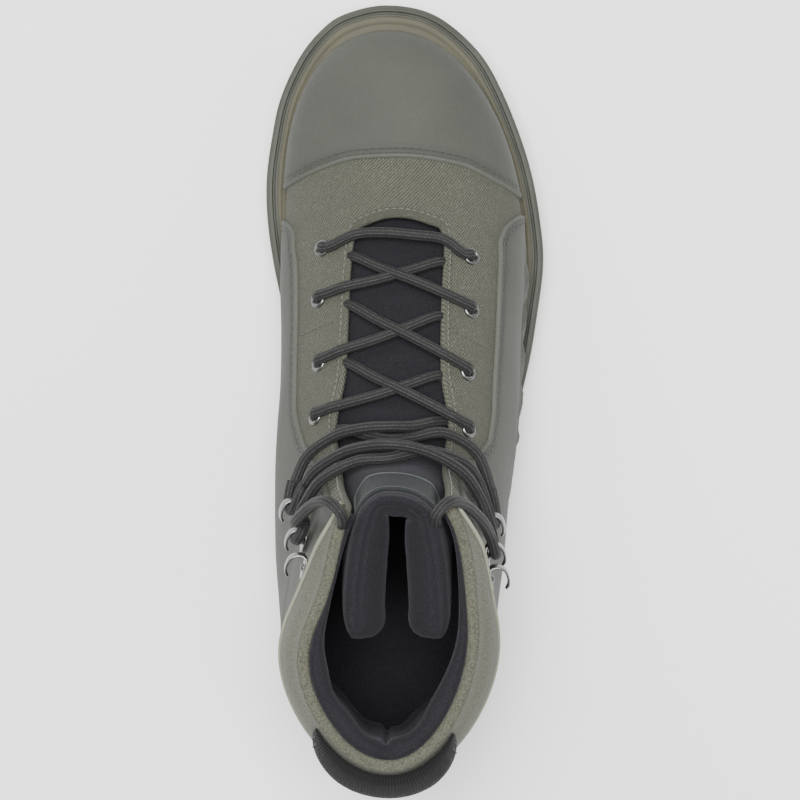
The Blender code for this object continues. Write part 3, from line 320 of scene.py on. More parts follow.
INNER_PATH = outline_points(INNER_OUTLINE)
OUTER_PATH = outline_points(OUTER_OUTLINE)
WIDTH_SHIFT = -(INNER_PATH[:, 1].max() + OUTER_PATH[:, 1].min()) / 2


def place(points):
    """From heel-end coordinates on the foot's axis to the boot's own frame."""
    return np.asarray(points) + (-SOLE_LENGTH / 2, WIDTH_SHIFT, 0.0)


def sole_edge(along, inner):
    """How far across the sole's edge lies on one side."""
    path = INNER_PATH if inner else OUTER_PATH
    return np.interp(along, path[:, 0], path[:, 1])


def sole_top(along):
    share = np.asarray(along) / SOLE_LENGTH
    lift = (HEEL_STACK - BALL_STACK) * read(SOLE_SIDE, 1, share)
    return BALL_STACK + lift + TOE_SPRING * read(SOLE_SIDE, 2, share)


def sole_under(along):
    return TOE_SPRING * read(SOLE_SIDE, 2, np.asarray(along) / SOLE_LENGTH)


def form(p):
    """How far a point lies outside the upper's form, near enough; negative inside."""
    x, y, z = p[..., 0], p[..., 1], p[..., 2]
    share = x / SOLE_LENGTH
    half = read(FOOT, 1, share) * BALL_WIDTH
    axis = read(FOOT, 2, share) * BALL_WIDTH
    crown = read(FOOT, 3, share) * INSTEP_HEIGHT
    widest = read(FOOT, 4, share) * INSTEP_HEIGHT
    toe = np.clip((share - TOE_START) / (TOE_END - TOE_START), 0, None) ** 2.0
    heel = np.clip((0.28 - share) / 0.25, 0, None) ** 2.0
    low = np.clip((widest - z) / np.maximum(widest - sole_top(x), 0.004), 0, 1.2)
    straight = np.clip(share, 0.2, TOE_START) * SOLE_LENGTH
    inner = sole_edge(straight, True) - axis
    outer = axis - sole_edge(straight, False)
    edge = np.minimum(half - TUCK, np.where(y > axis, inner, outer) - LEDGE)
    side = np.abs(y - axis) / (half + (edge - half) * low**2)
    high = np.clip((z - widest) / (crown - widest), 0, None)
    sharp = FOOT_ROUND
    value = side**sharp + high**2.0 + toe + heel
    foot = (value ** (1 / sharp) - 1) * half

    level = z / COLLAR_HEIGHT
    back = read(SHAFT, 1, level) * SOLE_LENGTH
    front = read(SHAFT, 2, level) * SOLE_LENGTH
    middle = (back + front) / 2
    u = (x - middle) / ((front - back) / 2)
    v = y - SHAFT_AXIS
    slim = np.tanh(3.0 * np.clip(u, -1.5, 1.5))
    inner = read(SHAFT, 3, level) * HEEL_WIDTH * (1 - read(SHAFT, 5, level) * slim)
    outer = read(SHAFT, 4, level) * HEEL_WIDTH * (1 - read(SHAFT, 6, level) * slim)
    width = np.where(v > 0, inner, outer)
    pinch = np.clip((level - 0.50) / 0.36, 0, 1)
    power = np.where(u > 0, 3.0, 2.2 - 0.5 * pinch)
    curl = np.where(u > 0, 2.3, 2.3 - 0.3 * pinch)
    value = np.abs(u) ** power + np.abs(v / width) ** curl
    shaft = (value ** (1 / curl) - 1) * HEEL_WIDTH * 0.5

    near = np.clip(0.5 + 0.5 * (shaft - foot) / MELT, 0, 1)
    return shaft * (1 - near) + foot * near - MELT * near * (1 - near)


def cast(core, aim):
    """Where rays from the core through the aim leave the form."""
    ray = aim - core
    ray = ray / np.linalg.norm(ray, axis=-1, keepdims=True)
    low = np.zeros(ray.shape[:-1])
    high = np.full(ray.shape[:-1], 0.16)
    for _ in range(36):
        middle = (low + high) / 2
        inside = form(core + ray * middle[..., None]) < 0
        low = np.where(inside, middle, low)
        high = np.where(inside, high, middle)
    return core + ray * low[..., None]


def normals(points):
    """The form's outward direction at these points."""
    step = 0.0004
    slope = [form(points + d) - form(points - d) for d in np.eye(3) * step]
    slope = np.stack(slope, axis=-1)
    return slope / np.linalg.norm(slope, axis=-1, keepdims=True)


def sunk(points, depth):
    """Pushes points that lie less than this depth inside the form down to it."""
    step = 0.0004
    for _ in range(5):
        slope = [form(points + d) - form(points - d) for d in np.eye(3) * step]
        slope = np.stack(slope, axis=-1) / (2 * step)
        size = np.linalg.norm(slope, axis=-1)
        excess = np.clip(form(points) / size + depth, 0, 0.02)
        points = points - slope * (excess / size)[:, None]
    return points


def rib_ends(rib, inner):
    """Start on the sole line, end on the opening, and the two cores of these ribs."""
    along = read(RIB_START, 1, rib) * SOLE_LENGTH
    start = np.stack([along, sole_edge(along, inner), sole_top(along)], axis=-1)
    across = read(RIB_END, 2 if inner else 3, rib) * BALL_WIDTH
    end = np.stack(
        [read(RIB_END, 1, rib) * SOLE_LENGTH, across, read(RIB_END, 4, rib) * COLLAR_HEIGHT],
        axis=-1,
    )
    core_x = np.clip(start[:, 0], CORE_BACK * SOLE_LENGTH, CORE_FRONT * SOLE_LENGTH)
    axis = SHAFT_AXIS * np.clip(2 - core_x / SOLE_LENGTH / 0.3, 0, 1)
    low = np.stack([core_x, axis, sole_top(core_x)], axis=-1)
    core_end = read(RIB_END, 5, rib) * SOLE_LENGTH
    axis = SHAFT_AXIS * np.clip(2 - core_end / SOLE_LENGTH / 0.3, 0, 1)
    high = np.stack([core_end, axis, end[:, 2] - read(RIB_END, 6, rib)], axis=-1)
    return start, end, low, high


def sole_line(rib, inner, lift):
    """The form's outline at a height over the sole's top."""
    start, _, low, _ = rib_ends(rib, inner)
    point = start
    for _ in range(3):
        level = sole_top(point[:, :1]) + lift
        aim = np.concatenate([start[:, :2], level], axis=1)
        core = np.concatenate([low[:, :2], level], axis=1)
        point = cast(core, aim)
    return point


def surface(rib, inner, steps):
    """Points of the form along ribs: one row for each step from sole line to opening."""
    _, end, low, high = rib_ends(rib, inner)
    foot = sole_line(rib, inner, GAP)
    top = cast(high, end)
    rows = [foot]
    for t in steps[1:]:
        aim = foot + (top - foot) * t
        core = low + (high - low) * t
        core[:, 2] += CORE_LIFT * (1 - t)
        rows.append(cast(core, aim))
    return np.array(rows)


# The sole's side and the welt
HEEL_BREAST = 0.285
FOREFOOT_START = 0.405
RIM_WIDTH = 0.0032
# The rib that the welt starts from, inner and outer: behind it the rim has no room for it
WELT_START = (0.66, 0.58)


def height_over(along, across):
    """The form's height over plan points, or the sole's top where it doesn't reach."""
    low = np.stack([along, across, sole_top(along) - 0.002], axis=-1)
    return cast(low, low + (0.0, 0.0, 1.0))[..., 2]


LINING_FRONT = 0.0014
# The tongue, from under the vamp up to the collar
TONGUE = (
    # row, along, height, half width in BALL_WIDTH, wrap, axis, thickness share,
    # lean of the section in degrees
    (0.00, 0.732, 0.400, 0.225, 0.006, 0.000, 0.70, 66.0),
    (0.20, 0.645, 0.470, 0.235, 0.007, 0.000, 0.85, 62.0),
    (0.40, 0.555, 0.545, 0.240, 0.008, 0.002, 0.90, 60.0),
    (0.55, 0.480, 0.620, 0.235, 0.010, 0.004, 1.00, 54.0),
    (0.68, 0.430, 0.720, 0.200, 0.020, 0.008, 1.15, 36.0),
    (0.80, 0.408, 0.840, 0.172, 0.041, 0.010, 1.30, 16.0),
    (0.92, 0.398, 0.960, 0.163, 0.056, 0.010, 1.35, 6.0),
    (1.00, 0.392, 1.030, 0.158, 0.058, 0.010, 1.10, 4.0),
)
TONGUE_CLEAR = 0.0007


def tongue_section(row):
    """One closed section: outer face one way, inner face back."""
    along = read(TONGUE, 1, row) * SOLE_LENGTH
    height = read(TONGUE, 2, row) * COLLAR_HEIGHT
    half = read(TONGUE, 3, row) * BALL_WIDTH
    wrap = read(TONGUE, 4, row)
    axis = read(TONGUE, 5, row) * BALL_WIDTH
    thick = read(TONGUE, 6, row) * TONGUE_THICK
    lean = np.radians(read(TONGUE, 7, row))
    out = np.array((math.cos(lean), 0.0, math.sin(lean)))
    centre = np.array((along, axis, height))
    angle = np.linspace(-math.pi / 2, math.pi / 2, TONGUE_POINTS)

    def side(grow):
        y = np.sign(np.sin(angle)) * np.abs(np.sin(angle)) ** 0.85 * (half - grow)
        back = wrap * (1 - np.abs(np.cos(angle)) ** 0.85)
        depth = grow + back
        points = centre + np.outer(y, (0, 1, 0)) - np.outer(depth, out)
        beside = np.clip((row - 0.45) / 0.15, 0, 1) * (LINING_FRONT + 3 * GAP)
        return sunk(points, WALL + TONGUE_CLEAR + beside + grow)

    return np.concatenate([side(0.0), side(thick)[::-1]])


PATCH_ROWS = (0.83, 0.965)
LOOP_THICK = 0.0018
LOOP_REACH = 0.118
LOOP_BAND = (
    # height in COLLAR_HEIGHT, how far its middle stands off
    (0.862, 0.0024),
    (0.895, 0.0046),
    (0.930, 0.0054),
    (0.962, 0.0040),
    (0.990, 0.0016),
)
# Eyelets, front to back
EYELETS = (
    # inner along and across, outer along and across
    (0.673, 0.268, 0.662, -0.244),
    (0.608, 0.279, 0.594, -0.242),
    (0.527, 0.274, 0.516, -0.227),
    (0.461, 0.283, 0.446, -0.228),
)
EYELET_RING = 0.0029
EYELET_WIRE = 0.0008


def eyelet_point(number, inner):
    row = EYELETS[number]
    along, across = row[:2] if inner else row[2:]
    plan = np.array([along * SOLE_LENGTH, across * BALL_WIDTH])
    point = np.array([[*plan, height_over(plan[:1], plan[1:])[0]]])
    return point, normals(point)


HOOKS = (
    # inner along and height, outer along and height
    (0.345, 0.660, 0.328, 0.660),
    (0.311, 0.765, 0.294, 0.765),
    (0.283, 0.860, 0.270, 0.860),
)
# A hook is one bent strip: its foot on the panel, its neck on the throat's side, its lip
# open to the back
HOOK_BEND = (
    # back, out, half width
    (0.0042, 0.0005, 0.0024),
    (0.0018, 0.0005, 0.0034),
    (-0.0022, 0.0005, 0.0034),
    (-0.0040, 0.0010, 0.0026),
    (-0.0046, 0.0026, 0.0021),
    (-0.0042, 0.0046, 0.0020),
    (-0.0026, 0.0064, 0.0020),
    (0.0002, 0.0071, 0.0021),
    (0.0028, 0.0068, 0.0021),
    (0.0046, 0.0056, 0.0015),
)
HOOK_SHEET = 0.0010


def hook_frame(number, inner):
    """Foot point, outward, backward and upward directions of a hook."""
    row = HOOKS[number]
    along, height = row[:2] if inner else row[2:]
    guess = np.array([[along * SOLE_LENGTH, 0.04 if inner else -0.035, height * COLLAR_HEIGHT]])
    core = guess * (1.0, 0.0, 1.0) + (0.0, SHAFT_AXIS, 0.0)
    point = cast(core, guess)
    out = normals(point)[0]
    back = np.array((-0.95, 0.0, -0.30))
    back = back - out * (back @ out)
    back /= np.linalg.norm(back)
    return point[0] + out * (OVERLAY + 2.6 * GAP), out, back, np.cross(out, back)


LACE = 0.0021
LACE_CLEAR = 0.0005


def smooth_path(points, spacing):
    """A smooth curve through the points, read evenly."""
    points = np.asarray(points, float)
    ends = [2 * points[0] - points[1], 2 * points[-1] - points[-2]]
    dense = curve(np.vstack([ends[0], points, ends[1]]), 16)
    length = length_along(dense)
    count = max(4, int(round(length[-1] / spacing)) + 1)
    return pick(np.linspace(0, length[-1], count), length, dense)


THROAT_LIFT = -0.0003
FLAP_LIFT = LACE + LACE_CLEAR
CROSSINGS = (
    # where a strand leaves each throat edge (along), and the eyelet that it runs to
    (0.662, 0.655, 1),
    (0.600, 0.586, 2),
    (0.527, 0.512, 3),
)


def throat_edge(along, inner):
    """How far across the throat's edge lies."""
    ribs = np.linspace(0.48, 0.80, 60)
    at = read(RIB_END, 1, ribs)
    return np.interp(along, at, read(RIB_END, 2 if inner else 3, ribs)) * BALL_WIDTH


ANKLE_CORE = 0.300
# A strand's wrap round a hook's neck, in the hook's own directions
HOOK_WRAP = (
    # back, out, up
    (-0.0100, 0.0032, -0.0068),
    (-0.0030, 0.0037, -0.0050),
    (-0.0005, 0.0038, 0.0000),
    (-0.0030, 0.0037, 0.0050),
    (-0.0100, 0.0032, 0.0068),
)
# The lace above the eyelets: from a throat edge to the other side's first hook, then to its
# own side's second
ANKLE_RISE = (
    # degrees from straight ahead toward its own side, height, lift of the lower strand,
    # lift of the upper strand
    (19.0, 0.664, -0.0003, 0.0000),
    (10.0, 0.704, -0.0003, 0.0038),
    (0.0, 0.724, -0.0003, 0.0055),
    (-11.0, 0.715, 0.0003, 0.0054),
    (-24.0, 0.680, 0.0034, 0.0044),
    (-40.0, 0.642, 0.0042, 0.0044),
    (-57.0, 0.634, 0.0048, 0.0048),
)
ANKLE_RETURN = (
    (-50.0, 0.700, 0.0048, 0.0048),
    (-38.0, 0.735, 0.0054, 0.0054),
    (-20.0, 0.790, 0.0030, 0.0046),
    (0.0, 0.840, -0.0003, 0.0049),
    (20.0, 0.830, 0.0012, 0.0042),
    (40.0, 0.795, 0.0046, 0.0048),
    (57.0, 0.748, 0.0048, 0.0048),
)
TUCK_END = (
    # along, across from the shaft's axis, height
    (0.340, 0.0345, 0.880),
    (0.362, 0.0275, 0.975),
    (0.366, 0.0215, 1.043),
    (0.352, 0.0170, 1.052),
)


def round_front(table, side, column):
    """A strand over the front of the ankle, from a table of angles, heights and lifts."""
    rows = np.array(table)
    angle = np.radians(rows[:, 0]) * side
    core = np.zeros((len(rows), 3)) + (ANKLE_CORE * SOLE_LENGTH, SHAFT_AXIS, 0.0)
    core[:, 2] = rows[:, 1] * COLLAR_HEIGHT
    ahead = np.stack([np.cos(angle), np.sin(angle), 0 * angle], axis=-1)
    point = cast(core, core + ahead * 0.01)
    return point + normals(point) * rows[:, column, None]


def wrap(number, inner):
    """A strand's points round a hook, from below it to above it."""
    foot, out, back, up = hook_frame(number, inner)
    if up[2] < 0:
        up = -up
    return np.array([foot + back * b + out * o + up * u for b, o, u in HOOK_WRAP])


def ankle_path(inner):
    """The lace's end that leaves the throat on one side; the outer one runs on top."""
    side = 1 if inner else -1
    column = 2 if inner else 3
    run = [round_front(ANKLE_RISE, side, column), wrap(0, not inner)]
    run += [round_front(ANKLE_RETURN, side, column), wrap(1, inner)]
    run.append(np.array(TUCK_END) * (SOLE_LENGTH, side, COLLAR_HEIGHT) + (0.0, SHAFT_AXIS, 0.0))
    return np.vstack(run)


# Finer grid of the same ribs and steps
NR = 150
NS = 72
TONGUE_POINTS = 61
RIB_SHARES = np.linspace(0, 1, NR + 1)
STEP_SHARES = np.linspace(0, 1, NS + 1)
COUNT = 2 * NR
rng = np.random.default_rng(7)


def both_sides(function):
    inner = function(RIB_SHARES, True)
    outer = function(RIB_SHARES, False)
    return np.concatenate([inner, outer[..., -2:0:-1, :]], axis=-2)


def bump_at(points, centre, radii, depth):
    """A soft dent or swelling of the skin around a point."""
    away = (points - np.array(centre)) / np.array(radii)
    return depth * np.exp(-(away**2).sum(axis=-1))


# Main creases: where they lie, how far they reach along, across and up, how deep
CREASES = (
    ((0.222, 0.030, 0.072), (0.0040, 0.022, 0.020), -0.0007),
    ((0.214, 0.034, 0.070), (0.0042, 0.020, 0.020), 0.0006),
    ((0.216, -0.034, 0.070), (0.0040, 0.020, 0.018), -0.0006),
    ((0.060, 0.047, 0.118), (0.030, 0.012, 0.0050), -0.0010),
    ((0.060, 0.047, 0.130), (0.028, 0.012, 0.0060), 0.0007),
    ((0.058, -0.037, 0.116), (0.030, 0.012, 0.0050), -0.0009),
    ((0.056, -0.037, 0.128), (0.028, 0.012, 0.0060), 0.0007),
    ((0.012, 0.004, 0.112), (0.012, 0.030, 0.0050), -0.0009),
    ((0.120, 0.044, 0.104), (0.012, 0.012, 0.0140), -0.0010),
    ((0.112, -0.038, 0.100), (0.012, 0.012, 0.0140), -0.0009),
    ((0.140, 0.046, 0.076), (0.030, 0.012, 0.0080), 0.0007),
    ((0.130, -0.044, 0.070), (0.030, 0.012, 0.0080), 0.0006),
)


def swell(points):
    total = np.zeros(points.shape[:-1])
    for centre, radii, depth in CREASES:
        total += bump_at(points, centre, radii, depth)
    x, y, z = points[..., 0], points[..., 1], points[..., 2]
    total += 0.00018 * np.sin(x * 61 + y * 37) * np.sin(z * 83 + x * 21)
    total += 0.00012 * np.sin(y * 139 + z * 57 + 1.1) * np.sin(x * 97 - z * 41)
    return total


BASE = both_sides(lambda rib, inner: surface(rib, inner, STEP_SHARES))
BASE_OUT = normals(BASE)
SKIN = BASE + BASE_OUT * swell(BASE)[..., None]
FACES = []
for r in range(NS):
    p = np.arange(COUNT)
    q = (p + 1) % COUNT
    a, b = r * COUNT + p, r * COUNT + q
    c, d = (r + 1) * COUNT + q, (r + 1) * COUNT + p
    FACES += [np.stack([a, b, c], axis=1), np.stack([a, c, d], axis=1)]
FACES = np.concatenate(FACES)
RUN_UP = np.zeros((NS + 1, COUNT))
RUN_UP[1:] = np.cumsum(np.linalg.norm(np.diff(BASE, axis=0), axis=-1), axis=0)
FROM_TOP = RUN_UP[-1] - RUN_UP
CROWN = read(FOOT, 3, BASE[..., 0] / SOLE_LENGTH) * INSTEP_HEIGHT
ROUND = BASE[..., 1] + np.tanh(BASE[..., 1] / 0.003) * np.maximum(CROWN - BASE[..., 2], 0)


def face_outward(data):
    """Turns all faces of a mesh outward."""
    work = bmesh.new()
    work.from_mesh(data)
    bmesh.ops.recalc_face_normals(work, faces=work.faces)
    work.to_mesh(data)
    work.free()


def add(name, verts, faces, looks, cloth=None, face_looks=None):
    """A piece from points and faces, riding on the one body."""
    data = bpy.data.meshes.new(name)
    verts = np.asarray(verts, float).reshape(-1, 3)
    data.from_pydata(place(verts).tolist(), [], [tuple(f) for f in faces])
    if cloth is not None:
        layer = data.attributes.new("cloth", "FLOAT_VECTOR", "POINT")
        layer.data.foreach_set("vector", np.asarray(cloth, np.float32).reshape(-1))
    for look in [looks] if isinstance(looks, bpy.types.Material) else looks:
        data.materials.append(look)
    if face_looks is not None:
        data.polygons.foreach_set("material_index", np.asarray(face_looks, np.int32))
    data.update()
    face_outward(data)
    data.shade_smooth()
    piece = bpy.data.objects.new(name, data)
    bpy.context.scene.collection.objects.link(piece)
    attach(piece, "root")
    return piece


def grid_faces(rows, width, wrap_rows=False, wrap_width=False):
    faces = []
    for r in range(rows if wrap_rows else rows - 1):
        for p in range(width if wrap_width else width - 1):
            s, q = (r + 1) % rows, (p + 1) % width
            faces.append((r * width + p, r * width + q, s * width + q, s * width + p))
    return faces


def end_caps(rows, width):
    """The first and last row of a grid as two faces."""
    return [tuple(range(width)), tuple(range((rows - 1) * width, rows * width))]


def halves(base, count):
    """Faces across a ring whose second half runs back beside its first."""
    faces = []
    for p in range(count // 2):
        a, b = p, p + 1
        corners = (a, b, (count - b) % count, (count - a) % count)
        corners = [base + k for k in dict.fromkeys(corners)]
        if len(corners) > 2:
            faces.append(tuple(corners))
    return faces


def loft(name, rows, look, cloth=None, closed=True, strips=False):
    """A piece from rows of points, with both ends capped."""
    rows = np.asarray(rows, float)
    count, width = rows.shape[:2]
    faces = grid_faces(count, width, wrap_width=closed)
    if strips:
        faces += halves(0, width) + halves((count - 1) * width, width)
    else:
        faces += end_caps(count, width)
    return add(name, rows, faces, look, cloth)


def between(grid, at, column):
    """A point of a grid between two of its rows."""
    low = min(int(at), NS - 1)
    t = at - low
    return grid[low, column] * (1 - t) + grid[low + 1, column] * t


def on_form(plan):
    """Plan points with the form's height."""
    return np.concatenate([plan, height_over(plan[:, 0], plan[:, 1])[:, None]], axis=1)


# Trimming: a fine grid is cut along lines of equal distance from an edge
def split(values, faces, level):
    """Cuts triangles where the first column crosses a level; every column is interpolated."""
    f = values[:, 0] - level
    f[np.abs(f) < 1e-8] = 0
    sign = np.sign(f)
    edges = np.concatenate([faces[:, [0, 1]], faces[:, [1, 2]], faces[:, [2, 0]]])
    edges = np.sort(edges, axis=1)
    crossing = sign[edges[:, 0]] * sign[edges[:, 1]] < 0
    if not crossing.any():
        return values, faces
    total = len(values)
    unique, back = np.unique(edges[crossing] @ np.array([total, 1]), return_inverse=True)
    a, b = unique // total, unique % total
    t = (f[a] / (f[a] - f[b]))[:, None]
    made = values[a] + (values[b] - values[a]) * t
    made[:, 0] = level
    index = np.full(len(edges), -1)
    index[crossing] = len(values) + back.reshape(-1)
    mid = index.reshape(3, -1).T
    cuts = (mid >= 0).sum(axis=1)
    out = [faces[cuts == 0]]
    for k in range(3):
        j, i = (k + 1) % 3, (k + 2) % 3
        two = (cuts == 2) & (mid[:, k] >= 0) & (mid[:, i] >= 0)
        v, p, q = faces[two], mid[two, k], mid[two, i]
        out.append(np.stack([v[:, k], p, q], axis=1))
        out.append(np.stack([p, v[:, j], v[:, i]], axis=1))
        out.append(np.stack([p, v[:, i], q], axis=1))
        one = (cuts == 1) & (mid[:, k] >= 0)
        v, p = faces[one], mid[one, k]
        out.append(np.stack([v[:, k], p, v[:, i]], axis=1))
        out.append(np.stack([p, v[:, j], v[:, i]], axis=1))
    return np.vstack([values, made]), np.concatenate(out)


def crossings(points, values, faces):
    """The short lines, one in each triangle, where the values pass zero."""
    f = values[faces]
    here = (f.min(axis=1) < 0) & (f.max(axis=1) >= 0)
    f, corners = f[here], points[faces[here]]
    ends = []
    for k in range(3):
        j = (k + 1) % 3
        t = f[:, k] / np.where(f[:, k] == f[:, j], 1.0, f[:, k] - f[:, j])
        hit = (f[:, k] < 0) != (f[:, j] < 0)
        ends.append((hit, corners[:, k] + (corners[:, j] - corners[:, k]) * t[:, None]))
    first = np.where(ends[0][0][:, None], ends[0][1], ends[1][1])
    last = np.where(ends[2][0][:, None], ends[2][1], ends[1][1])
    return first, last


def true_distance(points, values, faces, reach=0.007):
    """Signed distance over the surface to the line where the values pass zero."""
    first, last = crossings(points, values, faces)
    run = last - first
    size = np.maximum((run**2).sum(axis=1), 1e-12)
    samples = np.linspace(0.0, 1.0, 5)
    tree = KDTree(len(first) * len(samples))
    for share in samples:
        for j, spot in enumerate(first + run * share):
            tree.insert(spot, j)
    tree.balance()
    out = np.sign(values) * reach
    near = np.flatnonzero(np.abs(values) < reach * 1.2)
    found = np.array([[hit[1] for hit in tree.find_n(spot, 8)] for spot in points[near]])
    rel = points[near][:, None, :] - first[found]
    t = np.clip((rel * run[found]).sum(axis=-1) / size[found], 0, 1)
    gap = np.linalg.norm(rel - t[..., None] * run[found], axis=-1).min(axis=1)
    out[near] = np.sign(values[near]) * np.minimum(gap, reach)
    return out


def inside_outline(u, v, outline):
    """Signed distance to a closed flat outline, positive inside."""
    outline = np.asarray(outline, float)
    shape = u.shape
    points = np.stack([u.ravel(), v.ravel()], axis=1)
    best = np.full(len(points), 1e9)
    inside = np.zeros(len(points), bool)
    for a, b in zip(outline, np.roll(outline, -1, axis=0)):
        run = b - a
        t = np.clip(((points - a) @ run) / max(run @ run, 1e-12), 0, 1)
        best = np.minimum(best, np.linalg.norm(points - a - t[:, None] * run, axis=1))
        if a[1] != b[1]:
            cross = (a[1] > points[:, 1]) != (b[1] > points[:, 1])
            at = a[0] + (points[:, 1] - a[1]) * run[0] / run[1]
            inside ^= cross & (points[:, 0] < at)
    return np.where(inside, best, -best).reshape(shape)


def chains(values, faces, level):
    """Ordered lines of points along a level that the faces were split on."""
    on = np.abs(values[:, 0] - level) < 1e-9
    edges = np.concatenate([faces[:, [0, 1]], faces[:, [1, 2]], faces[:, [2, 0]]])
    edges = np.unique(np.sort(edges[on[edges].all(axis=1)], axis=1), axis=0)
    links = {}
    for a, b in edges.tolist():
        links.setdefault(a, []).append(b)
        links.setdefault(b, []).append(a)
    lines, used = [], set()
    starts = [v for v, n in links.items() if len(n) == 1] + list(links)
    for start in starts:
        if start in used:
            continue
        line, here = [start], start
        used.add(start)
        while True:
            ahead = [n for n in links[here] if n not in used]
            if not ahead:
                break
            here = ahead[0]
            used.add(here)
            line.append(here)
        if len(line) > 3:
            if start in links[here] and len(line) > 8:
                line.append(start)
            lines.append(np.array(line))
    return lines


def even(points, spacing, extra=None):
    """Points read evenly along a line, and directions that go with them."""
    points = np.asarray(points, float)
    length = length_along(points)
    count = max(3, int(round(length[-1] / spacing)) + 1)
    at = np.linspace(0, length[-1], count)
    out = pick(at, length, points)
    return out if extra is None else (out, pick(at, length, extra))


class Threads:
    """Stitches gathered into one mesh."""

    def __init__(self):
        self.verts, self.faces, self.total = [], [], 0

    def stitch(self, start, end, out, radius, sink):
        run = end - start
        length = np.linalg.norm(run)
        run = run / length
        side = np.cross(run, out)
        side /= np.linalg.norm(side)
        up = np.cross(side, run)
        rings = []
        for t, size, high in (
            (0, 0.55, -sink),
            (0.16, 0.9, 0.0),
            (0.5, 1.05, 0.00007),
            (0.84, 0.9, 0.0),
            (1, 0.55, -sink),
        ):
            centre = start + run * length * t + up * high
            for k in range(6):
                turn = math.tau * k / 6
                rings.append(centre + (side * math.cos(turn) + up * math.sin(turn)) * radius * size)
        base = self.total
        self.verts += rings
        self.total += 30
        for r in range(4):
            for k in range(6):
                a, b = base + r * 6 + k, base + r * 6 + (k + 1) % 6
                self.faces.append((a, b, b + 6, a + 6))

    def row(self, points, outs, pitch=0.0031, share=0.72, radius=0.00033, lift=0.00010):
        points, outs = even(points, pitch / 8, outs)
        step = 8
        for k in range(0, len(points) - step, step):
            end = k + int(round(step * share))
            mid = outs[k + step // 2]
            mid = mid / np.linalg.norm(mid)
            self.stitch(points[k] + mid * lift, points[end] + mid * lift, mid, radius, radius * 0.9)

    def build(self, name, look):
        return add(name, np.array(self.verts), self.faces, look)


# Materials, all from nodes
class Nodes:
    """A short way to write shader nodes."""

    def __init__(self, name):
        self.mat = bpy.data.materials.new(name)
        self.mat.use_nodes = True
        self.tree = self.mat.node_tree
        self.tree.nodes.clear()
        self.out = self.tree.nodes.new("ShaderNodeOutputMaterial")
        self.shader = self.tree.nodes.new("ShaderNodeBsdfPrincipled")
        self.tree.links.new(self.shader.outputs[0], self.out.inputs[0])

    def set(self, socket, value):
        if isinstance(value, bpy.types.NodeSocket):
            self.tree.links.new(value, socket)
        elif isinstance(value, (tuple, list)) and len(value) == 3 and socket.type == "RGBA":
            socket.default_value = (*value, 1.0)
        else:
            socket.default_value = value

    def node(self, kind, output=0, inputs=(), **settings):
        made = self.tree.nodes.new(kind)
        for key, value in settings.items():
            setattr(made, key, value)
        for key, value in dict(inputs).items():
            self.set(made.inputs[key], value)
        return made.outputs[output]

    def math(self, operation, a, b=0.0, c=0.0):
        return self.node("ShaderNodeMath", inputs={0: a, 1: b, 2: c}, operation=operation)

    def where(self):
        return self.node("ShaderNodeTexCoord", "Object")

    def cloth(self):
        return self.node("ShaderNodeAttribute", "Vector", attribute_name="cloth")

    def parts(self, vector):
        made = self.tree.nodes.new("ShaderNodeSeparateXYZ")
        self.tree.links.new(vector, made.inputs[0])
        return made.outputs[0], made.outputs[1], made.outputs[2]

    def noise(self, scale, detail=3.0, rough=0.55, vector=None):
        vector = self.where() if vector is None else vector
        inputs = {"Vector": vector, "Scale": scale, "Detail": detail, "Roughness": rough}
        return self.node("ShaderNodeTexNoise", "Fac", inputs)

    def cells(self, scale):
        return self.node("ShaderNodeTexVoronoi", "Distance", {"Vector": self.where(), "Scale": scale})

    def ramp(self, value, low, high, start=0.0, end=1.0):
        made = self.tree.nodes.new("ShaderNodeMapRange")
        for key, item in zip(range(5), (value, start, end, low, high)):
            self.set(made.inputs[key], item)
        return made.outputs[0]

    def mix(self, share, a, b):
        made = self.tree.nodes.new("ShaderNodeMix")
        made.data_type = "RGBA"
        self.set(made.inputs[0], share)
        self.set(made.inputs[6], a)
        self.set(made.inputs[7], b)
        return made.outputs[2]

    def bump(self, height, distance, strength=1.0, below=None):
        inputs = {"Height": height, "Distance": distance, "Strength": strength}
        if below is not None:
            inputs["Normal"] = below
        return self.node("ShaderNodeBump", 0, inputs)

    def wave(self, value, period):
        """A rounded wave from 0 to 1 for each period of the value."""
        turn = self.math("MULTIPLY", value, math.tau / period)
        return self.math("MULTIPLY_ADD", self.math("SINE", turn), 0.5, 0.5)

    def finish(self, colour, rough, normal=None, **extra):
        self.set(self.shader.inputs["Base Color"], colour)
        self.set(self.shader.inputs["Roughness"], rough)
        if normal is not None:
            self.set(self.shader.inputs["Normal"], normal)
        for key, value in extra.items():
            self.set(self.shader.inputs[key.replace("_", " ")], value)
        return self.mat


def tint(colour, factor):
    return tuple(min(1.0, c * factor) for c in colour)


SMOOTH = (0.054, 0.057, 0.048)
TWILL = (0.069, 0.070, 0.055)
ROUGH = (0.090, 0.091, 0.068)
WELT_COLOUR = (0.064, 0.062, 0.040)
RUBBER = (0.046, 0.049, 0.039)
BLACK = (0.0085, 0.0085, 0.0085)
LINING_BLACK = (0.0110, 0.0104, 0.0124)


